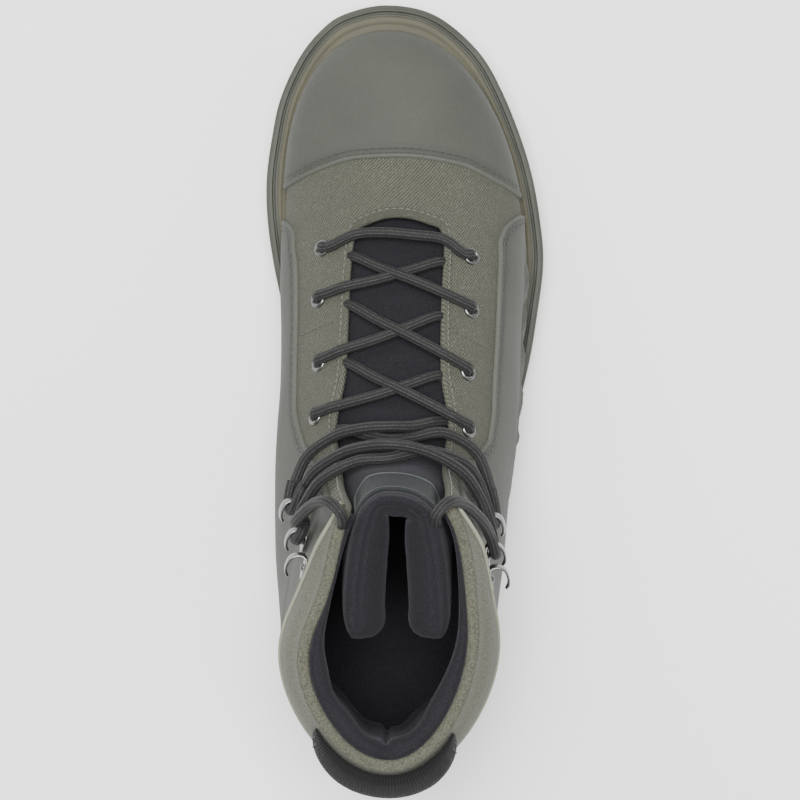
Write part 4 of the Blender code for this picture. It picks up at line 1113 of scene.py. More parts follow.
def smooth_leather(name, colour):
    """Matte coated leather: fine grain, faint mottling, a few scuffs, a painted highlight along each
    overlay's rolled edge and a painted shade band just inside it.
    """
    n = Nodes(name)
    mottle = n.noise(26.0, 4.0, 0.6)
    speck = n.noise(900.0, 2.0, 0.6)
    base = n.mix(n.ramp(mottle, 0.0, 1.0, 0.3, 0.72), tint(colour, 0.88), tint(colour, 1.10))
    base = n.mix(n.ramp(speck, 0.0, 0.30, 0.45, 0.80), base, tint(colour, 1.35))
    streaks = n.node("ShaderNodeMapping", 0, {"Vector": n.where(), "Scale": (60.0, 420.0, 260.0)})
    scuff = n.node("ShaderNodeTexNoise", "Fac", {"Vector": streaks, "Scale": 1.0, "Detail": 3.0})
    base = n.mix(n.ramp(scuff, 0.0, 0.22, 0.66, 0.80), base, tint(colour, 1.45))
    # Painted highlight: lighter along the overlay's rolled edge; the third cloth value is the distance
    # from that edge. Pieces without that distance, such as the piping, get it all over.
    _, _, edge = n.parts(n.cloth())
    rim = n.ramp(edge, 1.0, 0.0, 0.0004, 0.0016)
    base = n.mix(n.math("MULTIPLY", rim, 0.55), base, tint(colour, 1.55))
    # Painted shade: a darker band from about 1.2 mm to 6.8 mm inside the overlay's edge.
    rises, falls = n.ramp(edge, 0.0, 1.0, 0.0012, 0.0022), n.ramp(edge, 1.0, 0.0, 0.0032, 0.0068)
    band = n.math("MULTIPLY", rises, falls)
    base = n.mix(n.math("MULTIPLY", band, 0.55), base, tint(colour, 0.62))
    grain = n.cells(1500.0)
    fine = n.noise(2600.0, 2.0)
    normal = n.bump(grain, 0.00012, 0.55)
    normal = n.bump(fine, 0.00008, 0.5, normal)
    normal = n.bump(n.noise(120.0, 3.0), 0.0006, 0.35, normal)
    rough = n.ramp(mottle, 0.60, 0.72)
    return n.finish(base, rough, normal, Specular_IOR_Level=0.20)


def twill_cloth(name, colour):
    """Fine diagonal twill: raised ribs crossed by yarns, flecked in two tones."""
    n = Nodes(name)
    u, v, _ = n.parts(n.cloth())
    wobble = n.math("MULTIPLY", n.noise(160.0, 2.0), 0.0005)
    u = n.math("ADD", u, wobble)
    diagonal = n.wave(n.math("ADD", u, n.math("MULTIPLY", v, 0.9)), 0.00150)
    cross = n.wave(n.math("SUBTRACT", n.math("MULTIPLY", u, 0.6), v), 0.00095)
    fleck = n.noise(1700.0, 2.0, 0.7)
    weave = n.math("ADD", n.math("MULTIPLY", diagonal, 0.65), n.math("MULTIPLY", cross, 0.35))
    base = n.mix(n.ramp(weave, 0.0, 1.0, 0.15, 0.85), tint(colour, 0.42), tint(colour, 1.30))
    base = n.mix(n.ramp(fleck, 0.0, 0.7, 0.48, 0.72), base, tint(colour, 2.1))
    base = n.mix(n.ramp(n.noise(30.0, 3.0), 0.0, 0.45, 0.35, 0.75), base, tint(colour, 0.8))
    normal = n.bump(weave, 0.00035, 0.9)
    normal = n.bump(fleck, 0.00015, 0.6, normal)
    return n.finish(base, 0.85, normal, Sheen_Weight=0.03, Sheen_Roughness=0.5, Specular_IOR_Level=0.15)


def rough_cloth(name, colour):
    """Pebbled collar cloth: small knots, two tones."""
    n = Nodes(name)
    knots = n.cells(1350.0)
    fleck = n.noise(1900.0, 3.0, 0.7)
    base = n.mix(n.ramp(knots, 1.0, 0.0, 0.1, 0.75), tint(colour, 0.55), tint(colour, 1.2))
    base = n.mix(n.ramp(fleck, 0.0, 0.6, 0.48, 0.75), base, tint(colour, 2.0))
    base = n.mix(n.ramp(n.noise(40.0, 3.0), 0.0, 0.35, 0.4, 0.8), base, tint(colour, 0.75))
    normal = n.bump(knots, 0.00030, -0.9)
    normal = n.bump(fleck, 0.00015, 0.7, normal)
    return n.finish(base, 0.88, normal, Sheen_Weight=0.05, Specular_IOR_Level=0.2)


def lining_cloth(name, colour, nap, depth_shade=False):
    """Brushed black lining with a soft nap; the padding's version also has painted shade that darkens it
    deeper inside the boot.
    """
    n = Nodes(name)
    fine = n.noise(1500.0, 3.0, 0.7)
    soft = n.noise(60.0, 3.0)
    base = n.mix(n.ramp(fine, 0.0, 0.9, 0.35, 0.75), tint(colour, 0.70), tint(colour, 1.9))
    base = n.mix(n.ramp(soft, 0.0, 0.6, 0.35, 0.75), base, tint(colour, 1.25))
    if depth_shade:
        # Painted shade: the colour darkens and the sheen fades out with the depth inside the boot (the
        # third cloth value), where shade falls.
        _, _, deep = n.parts(n.cloth())
        shade = n.ramp(deep, 0.0, 1.0, 0.04, 0.26)
        base = n.mix(shade, base, tint(colour, 0.12))
        nap = n.ramp(shade, nap, 0.0)
    normal = n.bump(fine, 0.0003, 0.7)
    normal = n.bump(n.cells(700.0), 0.0002, 0.4, normal)
    return n.finish(
        base,
        0.93,
        normal,
        Sheen_Weight=nap,
        Sheen_Roughness=0.45,
        Sheen_Tint=(0.62, 0.60, 0.68),
        Specular_IOR_Level=0.12,
    )


def braid(name, colour):
    """Round braided lace: fine crossing yarns, and pale lines along its ribs that are painted highlights,
    patchy by noise.
    """
    n = Nodes(name)
    along, turn, _ = n.parts(n.cloth())
    shift = n.math("MULTIPLY", turn, 0.0104)
    one = n.wave(n.math("ADD", along, shift), 0.0013)
    two = n.wave(n.math("SUBTRACT", along, shift), 0.0013)
    yarn = n.math("MAXIMUM", one, two)
    line = n.wave(turn, 1 / 9)
    base = n.mix(n.ramp(yarn, 0.0, 1.0, 0.35, 1.0), tint(colour, 0.62), tint(colour, 1.2))
    # Painted highlight: pale lines along the lace's ribs stand for the highlights on it, made patchy by
    # noise.
    patchy_highlight = n.ramp(n.noise(1100.0, 2.0), 0.2, 1.0, 0.35, 0.65)
    pale = n.math("MULTIPLY", n.ramp(line, 0.0, 0.60, 0.70, 1.0), patchy_highlight)
    base = n.mix(pale, base, (0.070, 0.070, 0.068))
    normal = n.bump(line, 0.00022, 0.8)
    normal = n.bump(yarn, 0.00010, 0.8, normal)
    normal = n.bump(n.noise(3000.0, 2.0), 0.00006, 0.5, normal)
    return n.finish(base, 0.72, normal, Sheen_Weight=0.02, Specular_IOR_Level=0.22)


def webbing_cloth(name, colour):
    """Ribbed webbing: ribs across its length, fine yarns over them."""
    n = Nodes(name)
    along, across, _ = n.parts(n.cloth())
    ribs = n.wave(along, 0.00095)
    yarn = n.wave(across, 0.00055)
    base = n.mix(n.ramp(ribs, 0.0, 1.0, 0.2, 0.9), tint(colour, 0.35), tint(colour, 1.7))
    base = n.mix(n.ramp(yarn, 0.0, 0.3, 0.5, 1.0), base, tint(colour, 2.2))
    normal = n.bump(ribs, 0.0005, 0.9)
    normal = n.bump(yarn, 0.0001, 0.6, normal)
    return n.finish(base, 0.80, normal, Sheen_Weight=0.02, Specular_IOR_Level=0.2)


def moulded_rubber(name, colour, pale=1.25):
    """Matte moulded rubber: fine texture, dusty patches."""
    n = Nodes(name)
    dust = n.noise(45.0, 5.0, 0.65)
    fine = n.noise(1300.0, 3.0)
    base = n.mix(n.ramp(dust, 0.0, 1.0, 0.35, 0.75), tint(colour, 0.85), tint(colour, pale))
    base = n.mix(n.ramp(fine, 0.0, 0.25, 0.5, 0.8), base, tint(colour, 1.6))
    normal = n.bump(fine, 0.00015, 0.6)
    normal = n.bump(n.noise(240.0, 3.0), 0.0004, 0.3, normal)
    return n.finish(base, n.ramp(dust, 0.60, 0.74), normal, Specular_IOR_Level=0.35)


def felt_cloth(name):
    """Dense pressed felt: matted fibres in tan and grey."""
    n = Nodes(name)
    where = n.node("ShaderNodeMapping", 0, {"Vector": n.where(), "Scale": (1.0, 1.0, 2.4)})
    fibre = n.noise(520.0, 6.0, 0.75, where)
    matt = n.noise(90.0, 5.0, 0.7, where)
    base = n.mix(n.ramp(fibre, 0.0, 1.0, 0.30, 0.72), (0.205, 0.175, 0.125), (0.46, 0.415, 0.325))
    base = n.mix(n.ramp(matt, 0.0, 0.5, 0.45, 0.8), base, (0.155, 0.145, 0.120))
    normal = n.bump(fibre, 0.0010, 0.9)
    tan = (0.8, 0.72, 0.6)
    return n.finish(base, 0.96, normal, Sheen_Weight=0.4, Sheen_Tint=tan, Specular_IOR_Level=0.1)


def plated_metal(name, colour, rough):
    """Nickel plate with fine brushing and dull spots."""
    n = Nodes(name)
    spots = n.noise(700.0, 4.0, 0.6)
    base = n.mix(n.ramp(spots, 0.0, 0.6, 0.5, 0.85), colour, tint(colour, 0.55))
    normal = n.bump(n.noise(2400.0, 2.0), 0.00004, 0.5)
    return n.finish(base, n.ramp(spots, rough, rough + 0.18), normal, Metallic=1.0)


def thread_look(name, colour):
    n = Nodes(name)
    twist = n.noise(2600.0, 2.0)
    base = n.mix(n.ramp(twist, 0.0, 1.0, 0.3, 0.75), tint(colour, 0.6), tint(colour, 1.5))
    return n.finish(base, 0.72, n.bump(twist, 0.00008, 0.8), Sheen_Weight=0.1)


LEATHER = smooth_leather("coated_leather", SMOOTH)
CLOTH = twill_cloth("twill", TWILL)
KNOTS = rough_cloth("collar_cloth", ROUGH)
LINER = lining_cloth("brushed_lining", LINING_BLACK, 0.09)
INSIDE = lining_cloth("inside_lining", LINING_BLACK, 0.05)
TONGUE_CLOTH = lining_cloth("tongue_cloth", LINING_BLACK, 0.07)
BRAID = braid("braided_lace", tint(BLACK, 1.5))
WEB = webbing_cloth("ribbed_webbing", (0.0062, 0.0062, 0.0064))
RIM_KNOTS = rough_cloth("collar_rim_cloth", tint(ROUGH, 0.78))
PIPING = smooth_leather("collar_piping", tint(ROUGH, 1.75))
# The collar padding's lining gets the painted shade that darkens it deeper inside the boot.
PAD_LINER = lining_cloth("lining_padding", LINING_BLACK, 0.09, depth_shade=True)
OUTSOLE = moulded_rubber("dark_rubber", RUBBER)
WELT_LOOK = moulded_rubber("olive_rubber", WELT_COLOUR, 1.15)
FELT_LOOK = felt_cloth("pressed_felt")
NICKEL = plated_metal("nickel", (0.17, 0.17, 0.168), 0.26)
DARK_THREAD = thread_look("dark_thread", (0.030, 0.031, 0.027))
GREEN_THREAD = thread_look("green_thread", (0.085, 0.088, 0.070))
BLACK_THREAD = thread_look("black_thread", (0.020, 0.020, 0.022))


# Camera first: straight down, toe at the top, at the photo's scale on the floor
CAMERA_HEIGHT = 1.2
CAMERA_SHIFT = -0.0058
SENSOR = 36.0
PHOTO_SIDE = 800
PIXELS_PER_MM = 2.336
camera = bpy.data.objects.new("camera", bpy.data.cameras.new("camera"))
bpy.context.scene.collection.objects.link(camera)
camera.location = (CAMERA_SHIFT, WIDTH_SHIFT, CAMERA_HEIGHT)
camera.rotation_euler = (0.0, 0.0, -math.pi / 2)
camera.data.sensor_width = SENSOR
camera.data.lens = PIXELS_PER_MM * CAMERA_HEIGHT * 1000 / PHOTO_SIDE * SENSOR
camera.data.clip_end = 20.0
bpy.context.scene.camera = camera


# Cords
def tube(name, points, look, radius, sides=16):
    """A round tube along points, with its length and turn kept for the braid."""
    points = np.asarray(points, float)
    run = np.gradient(points, axis=0)
    run /= np.linalg.norm(run, axis=1, keepdims=True)
    up = np.array((0.0, 0.0, 1.0)) if abs(run[0, 2]) < 0.9 else np.array((1.0, 0.0, 0.0))
    verts, cloth = [], []
    length = length_along(points)
    size = np.full(len(points), radius) if np.isscalar(radius) else np.asarray(radius)
    for k, (point, ahead) in enumerate(zip(points, run)):
        side = np.cross(ahead, up)
        side /= np.linalg.norm(side)
        up = np.cross(side, ahead)
        for j in range(sides + 1):
            turn = math.tau * j / sides
            verts.append(point + (side * math.cos(turn) + up * math.sin(turn)) * size[k])
            cloth.append((length[k], j / sides, 0.0))
    faces = grid_faces(len(points), sides + 1)
    faces += end_caps(len(points), sides + 1)
    return add(name, verts, faces, look, cloth)


def tucked_under(along, edge, side):
    """Two points below a flap, where a strand comes out from under its edge."""
    across = edge + side * np.array([0.0075, 0.0020])
    plan = np.stack([along + np.array([0.0012, 0.0004]), across], axis=-1)
    points = on_form(plan)
    return points - normals(points) * np.array([[0.0056], [0.0050]])


def lace_strand(start_along, start_inner, number, over):
    """One strand, from under one flap over the tongue, over the other flap and down its eyelet."""
    side = 1 if start_inner else -1
    edge = throat_edge(start_along, start_inner)
    ring, out = eyelet_point(number, not start_inner)
    target, out = ring[0], out[0]
    start = np.array([start_along * SOLE_LENGTH, edge - side * 1.75 * LACE])
    far = throat_edge(target[0] / SOLE_LENGTH, not start_inner)
    run = target[:2] - start
    reach = np.linalg.norm(run)
    cross = (start[1] - far) / (start[1] - target[1])
    last = 1 - (EYELET_RING + EYELET_WIRE + 2 * GAP) / reach
    shares = np.array([0.0, 0.22, 0.5, cross - 0.05, min(cross + 0.07, last - 0.06), last])
    lifts = np.array([THROAT_LIFT, 0.0, 0.0004 + over, FLAP_LIFT, FLAP_LIFT, FLAP_LIFT])
    plan = start + run * shares[:, None]
    points = on_form(plan)
    points = points + normals(points) * lifts[:, None]
    hidden = tucked_under(start_along * SOLE_LENGTH, edge, side)
    top = target + out * 0.0016 + (points[-1] - target) * 0.28
    deep = target - out * 0.0040
    return smooth_path(np.vstack([hidden, points, top, deep]), 0.0011)


def lace_pieces():
    for index, (inner_start, outer_start, number) in enumerate(CROSSINGS):
        for start_inner, start, over in ((True, inner_start, 0.0016), (False, outer_start, 0.0)):
            path = lace_strand(start, start_inner, number, over)
            name = f"lace_{index + 1}_{'inner' if start_inner else 'outer'}"
            piece = tube(name, path, BRAID, LACE)
            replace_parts(piece, f"lace_cross_{index + 1}")
    left, right = eyelet_point(0, True), eyelet_point(0, False)
    a, b = left[0][0], right[0][0]
    forward = np.array([0.0, 0.0050, 0.0062, 0.0058, 0.0050, 0.0])
    shares = np.array([0.075, 0.24, 0.42, 0.62, 0.80, 0.925])
    plan = a[:2] + (b - a)[:2] * shares[:, None]
    plan[:, 0] += forward
    points = on_form(plan)
    points = points + normals(points) * FLAP_LIFT
    ends = []
    for (at, out), near in ((left, points[0]), (right, points[-1])):
        ends.append((at[0] - out[0] * 0.004, at[0] + out[0] * 0.0016 + (near - at[0]) * 0.28))
    path = np.vstack([ends[0][0], ends[0][1], points, ends[1][1], ends[1][0]])
    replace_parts(tube("lace_front", smooth_path(path, 0.0011), BRAID, LACE), "lace_bar")


lace_pieces()


def ankle_cords():
    """The lace above the eyelets: over the ankle, round the hooks, and in behind the collar."""
    for inner in (True, False):
        side = 1 if inner else -1
        line = ankle_path(inner)
        along = line[0, 0] + 0.001
        under = tucked_under(along, throat_edge(along / SOLE_LENGTH, inner), side)
        deep = line[-1] + np.array((-0.004, 0.0, -0.010))
        line = smooth_path(np.vstack([under, line, deep]), 0.0014)
        name = "inner" if inner else "outer"
        piece = tube(f"lace_end_{name}", line, BRAID, LACE)
        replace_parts(piece, f"lace_ankle_{name}")


ankle_cords()


# The upper: twill outside, lining inside, one closed wall
def build_upper():
    outer = SKIN.reshape(-1, 3)
    inner = (BASE - BASE_OUT * WALL).reshape(-1, 3)
    total = len(outer)
    faces = [tuple(f) for f in FACES.tolist()]
    looks = [0] * len(faces)
    faces += [(a + total, c + total, b + total) for a, b, c in FACES.tolist()]
    looks += [1] * len(FACES)
    for base in (0, NS * COUNT):
        for p in range(COUNT):
            q = (p + 1) % COUNT
            faces.append((base + p, base + q, total + base + q, total + base + p))
            looks.append(0)
    cloth = np.stack([BASE[..., 0], ROUND, FROM_TOP], axis=-1).reshape(-1, 3)
    points, cloth = np.vstack([outer, inner]), np.vstack([cloth, cloth])
    piece = add("boot_upper", points, faces, [CLOTH, INSIDE], cloth, looks)
    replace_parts(piece, "upper")


build_upper()

# Overlays
STITCH = Threads()
PALE_STITCH = Threads()
BLACK_STITCH = Threads()
POINTS = SKIN.reshape(-1, 3)
OUTS = BASE_OUT.reshape(-1, 3)
PX, PY, PZ = POINTS[:, 0], POINTS[:, 1], POINTS[:, 2]
WEAVE = np.stack([BASE[..., 0], RUN_UP], axis=-1).reshape(-1, 2)
# Distances from an overlay's edge where its grid is cut, so that the roll is round
ROLL = (0.0, 0.00012, 0.00035, 0.0007, 0.0011, 0.0015)
STITCH_GROOVE = 0.00022


def overlay(name, region, looks, node, thick, rows=(), extra=None):
    """A trimmed sheet on the skin with a rolled edge, grooves where its stitch rows run."""
    faces = FACES
    dist = true_distance(POINTS, region, faces)
    more = np.zeros(len(POINTS)) if extra is None else extra
    values = np.column_stack([dist, POINTS, OUTS, WEAVE, more])
    levels = list(ROLL)
    for row in rows:
        levels += [row - 0.0006, row - 0.0003, row, row + 0.0003, row + 0.0006]
    keep = (dist[faces] > -0.004).any(axis=1)
    faces = faces[keep]
    for level in sorted(levels):
        values, faces = split(values, faces, level)
    middle = values[faces, 0].mean(axis=1)
    faces = faces[middle > 0]
    used, index = np.unique(faces, return_inverse=True)
    values, faces = values[used], index.reshape(-1, 3)
    edge = np.clip(values[:, 0] / 0.0013, 0, 1)
    height = GAP * 0.3 + thick * np.sqrt(1 - (1 - edge) ** 2)
    height += 0.00022 * np.exp(-(((values[:, 0] - 0.0010) / 0.0006) ** 2))
    for row in rows:
        height -= STITCH_GROOVE * np.exp(-(((values[:, 0] - row) / 0.00035) ** 2))
    height += values[:, 9]
    out = values[:, 4:7]
    out = out / np.linalg.norm(out, axis=1, keepdims=True)
    points = values[:, 1:4] + out * height[:, None]
    cloth = np.column_stack([values[:, 7:9], values[:, 0]])
    piece = add(name, points, faces.tolist(), looks, cloth)
    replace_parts(piece, node)
    for row in rows:
        for line in chains(values, faces, row):
            STITCH.row(points[line], out[line])
    return values, faces, points, out


def cap_line(across):
    return read(CAP_EDGE, 1, across / BALL_WIDTH) * SOLE_LENGTH


def panel_outline(inner):
    back = np.linspace(-0.05, COLLAR_MEET[0], 24)
    top = [(u * SOLE_LENGTH, read(COLLAR_EDGE, 1, u) * COLLAR_HEIGHT - SEAM) for u in back]
    front = [(u * SOLE_LENGTH, v * COLLAR_HEIGHT) for u, v in EYESTAY_EDGE]
    along = np.linspace(PANEL_TOP[1][0], PANEL_TOP[-1][0], 60) * SOLE_LENGTH
    across = read(PANEL_TOP, 1 if inner else 2, along / SOLE_LENGTH) * BALL_WIDTH
    low = list(zip(along, height_over(along, across)))
    return top + front + low + [(along[-1] + 0.02, 0.01), (-0.03, 0.01)]


def side_relief():
    """The outer panel's moulded step and slanted bars, low on the side."""
    outer = PY < 0
    share = PX / SOLE_LENGTH
    step_at = 0.055 + 0.006 * np.sin(share * 6.0)
    low = np.clip((step_at - PZ) / 0.0012, 0, 1) * np.clip((share - 0.34) / 0.03, 0, 1)
    low = low * np.clip((0.70 - share) / 0.02, 0, 1)
    slant = (PX - (PZ - 0.04) * 0.75) / 0.0170
    bar = np.clip(2.0 - np.abs((slant % 1.0) - 0.5) * 6.5, 0, 1)
    band = np.clip((PZ - 0.0390) / 0.0015, 0, 1) * np.clip((0.0530 - PZ) / 0.0015, 0, 1)
    band = band * np.clip((share - 0.42) / 0.01, 0, 1) * np.clip((0.66 - share) / 0.01, 0, 1)
    return np.where(outer, low * 0.0008 + band * bar * 0.0012, 0.0)


def build_overlays():
    cap = PX - cap_line(PY)
    overlay("cap_leather", cap, LEATHER, "toe_cap", OVERLAY, (0.0019, 0.0040))
    relief = side_relief()
    for inner, node in ((True, "panel_inner"), (False, "panel_outer")):
        side = PY - HEEL_SET - SEAM / 2 if inner else HEEL_SET - SEAM / 2 - PY
        region = inside_outline(PX, PZ, panel_outline(inner))
        region = np.minimum(region, side)
        region = np.minimum(region, -(cap + CAP_SEAM))
        name = "side_leather_inner" if inner else "side_leather_outer"
        overlay(name, region, LEATHER, node, OVERLAY, (0.0019, 0.0038), extra=relief)
    along = np.linspace(-0.05, COLLAR_MEET[0], 30)
    edge = [(u * SOLE_LENGTH, read(COLLAR_EDGE, 1, u) * COLLAR_HEIGHT) for u in along]
    far = 1.2 * COLLAR_HEIGHT
    edge += [(COLLAR_MEET[0] * SOLE_LENGTH + 0.003, COLLAR_MEET[1] * COLLAR_HEIGHT)]
    edge += [(COLLAR_MEET[0] * SOLE_LENGTH + 0.003, far), (-0.05 * SOLE_LENGTH, far)]
    region = inside_outline(PX, PZ, edge)
    puff = 0.0009 * np.exp(-(((FROM_TOP.reshape(-1) - 0.014) / 0.010) ** 2))
    values, faces, points, out = overlay(
        "collar_cloth", region, KNOTS, "collar_panel", OVERLAY * 1.3, (), extra=puff
    )
    for number, line in enumerate(chains(values, faces, 0.0)):
        if len(line) > 40:
            path = even(points[line] + out[line] * 0.0019, 0.0012)
            tube(f"collar_piping_{number + 1}", path, PIPING, 0.00085, 8)


build_overlays()


def rim_band(name, first, last, depth, look):
    """A folded edge over the upper's rim, between two ribs on both sides."""
    ribs = [k % COUNT for k in range(first, last + 1)]
    steps = np.linspace(0, 1, 7)
    high = 0.0005
    verts = []
    for rib in ribs:
        section = []
        for share in steps:
            at = depth * (1 - share)
            row = np.interp(-at, -FROM_TOP[:, rib], np.arange(NS + 1.0))
            rise = high * math.sqrt(max(0.0, 1 - (1 - min(1.0, share * 4)) ** 2))
            section.append(between(SKIN, row, rib) + between(BASE_OUT, row, rib) * (rise + 0.00005))
        top, out = SKIN[NS, rib], BASE_OUT[NS, rib]
        up = SKIN[NS, rib] - SKIN[NS - 2, rib]
        up = up / np.linalg.norm(up)
        for turn in (0.35, 0.7, 1.0):
            angle = math.pi * turn
            middle = (high - WALL) / 2
            half = (high + WALL) / 2
            away = middle + half * math.cos(angle)
            section.append(top + out * away + up * 0.9 * half * math.sin(angle))
        section.append(top - out * (WALL + 0.0002) - up * 0.004)
        verts.append(section)
    verts = np.array(verts)
    rows, width = verts.shape[:2]
    cloth = np.zeros((rows, width, 3))
    cloth[..., 0] = np.arange(rows)[:, None] * 0.002
    cloth[..., 1] = np.arange(width) * 0.0007
    add(name, verts, grid_faces(rows, width), look, cloth)
    outs = np.array([BASE_OUT[NS, rib] for rib in ribs])
    PALE_STITCH.row(verts[:, 2], outs, pitch=0.0028)


def collar_rim():
    """The collar cloth rolled over the rim as far as the lining."""
    ribs = np.arange(-CORNER, CORNER + 1)
    puff = 0.0009 * math.exp(-((0.014 / 0.010) ** 2))
    far = GAP * 0.3 + OVERLAY * 1.3 + puff + 0.00015
    near = -WALL - GAP * 0.4
    verts, cloth = [], []
    for rib in ribs:
        top, out = SKIN[NS, rib], BASE_OUT[NS, rib]
        low = SKIN[NS - 2, rib]
        up = (top - low) / np.linalg.norm(top - low)
        section = [top + out * (far - 0.0006) - up * 0.0026, top + out * far - up * 0.0012]
        for turn in np.linspace(0, math.pi, 11):
            middle, half = (far + near) / 2, (far - near) / 2
            away = middle + half * math.cos(turn)
            section.append(top + out * away + up * 0.0013 * math.sin(turn) ** 0.7)
        section.append(top + out * near - up * 0.0030)
        verts.append(section)
        cloth.append([(rib * 0.002, k * 0.0006, 0.0) for k in range(len(section))])
    loft("collar_rim", verts, RIM_KNOTS, np.array(cloth), closed=False)


def quarter_seams():
    """The dotted seam across each eyestay."""
    for ends in QUARTER_SEAMS:
        share = np.linspace(0, 1, 24)[:, None]
        plan = np.array(ends[:2]) * (1 - share) + np.array(ends[2:]) * share
        points = on_form(plan)
        out = normals(points)
        points = points + out * swell(points)[:, None]
        STITCH.row(points, out, pitch=0.0021, share=0.5, radius=0.00035)


# Where the seams lie: from the throat's edge to the side panel
QUARTER_SEAMS = (
    # along, across, along, across
    (0.1830, 0.0265, 0.1775, 0.0405),
    (0.1785, -0.0220, 0.1715, -0.0365),
)
quarter_seams()

# The rib at the corner between collar and throat
CORNER = int(round(0.36 * NR))
BINDING = 0.0034
rim_band("throat_binding", CORNER, COUNT - CORNER, BINDING, CLOTH)
collar_rim()


# The lining starts at this step of the ribs and rolls this high over the rim
PAD_FROM = 0.60
PAD_ROLL = 0.0034


def build_lining():
    """The padded roll round the collar, soft and full at the back, with a seam at the heel."""
    ribs = np.arange(-CORNER, CORNER + 1)
    along = read(RIB_END, 1, np.abs(ribs) / NR)
    full = np.clip((0.27 - along) / 0.12, 0, 1)
    thick = LINING_FRONT + (PADDING - LINING_FRONT) * full * full * (3 - 2 * full)
    profile = []
    for step in np.linspace(PAD_FROM, 1.0, 18):
        profile.append((step, 0.0, 0.0))
    for turn in np.linspace(0, math.pi, 14)[1:-1]:
        profile.append((1.0, 0.5 - 0.5 * math.cos(turn), math.sin(turn) * PAD_ROLL))
    seen_from = len(profile)
    for step in np.linspace(1.0, PAD_FROM, 26):
        share = (step - PAD_FROM) / (1 - PAD_FROM)
        profile.append((step, 0.25 + 0.75 * min(1.0, share * 1.8) ** 0.7, 0.0))
    verts, cloth = [], []
    seam = np.exp(-((ribs / 1.6) ** 2))
    for rib, pad, notch in zip(ribs, thick, seam):
        column = rib % COUNT
        section, weave = [], []
        behind = np.clip((0.22 - read(RIB_END, 1, abs(rib) / NR)) / 0.14, 0, 1)
        for k, (step, share, rise) in enumerate(profile):
            point = between(BASE, step * NS, column)
            out = between(BASE_OUT, step * NS, column)
            depth = WALL + GAP * 0.5 + share * pad
            inside = share > 0.4
            wavy = 0.0006 * math.sin(rib * 0.33 + step * 9) * inside
            swollen = math.exp(-(((step - 0.77) / 0.13) ** 2)) * (k >= seen_from)
            depth += swollen * (0.0045 + 0.0050 * behind) * min(1.0, pad / 0.0030)
            depth += wavy - notch * 0.0022 * inside
            rise = rise * min(1.0, pad / 0.004) * (1 - 0.5 * notch)
            section.append(point - out * depth + np.array((0.0, 0.0, rise)))
            # The third cloth value is how deep the point lies inside the boot, read by the lining's
            # painted shade.
            weave.append((rib * 0.0018, k * 0.0015, (1 - step) * (k >= seen_from)))
        verts.append(section)
        cloth.append(weave)
    piece = loft("collar_padding", verts, PAD_LINER, np.array(cloth))
    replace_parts(piece, "collar_lining")


build_lining()


# How far the tongue's inner face is rounded: at the ends of its arms, and from the top as
# a share of its rows
TONGUE_LOBE = 0.0095
TONGUE_ROLL = 0.085


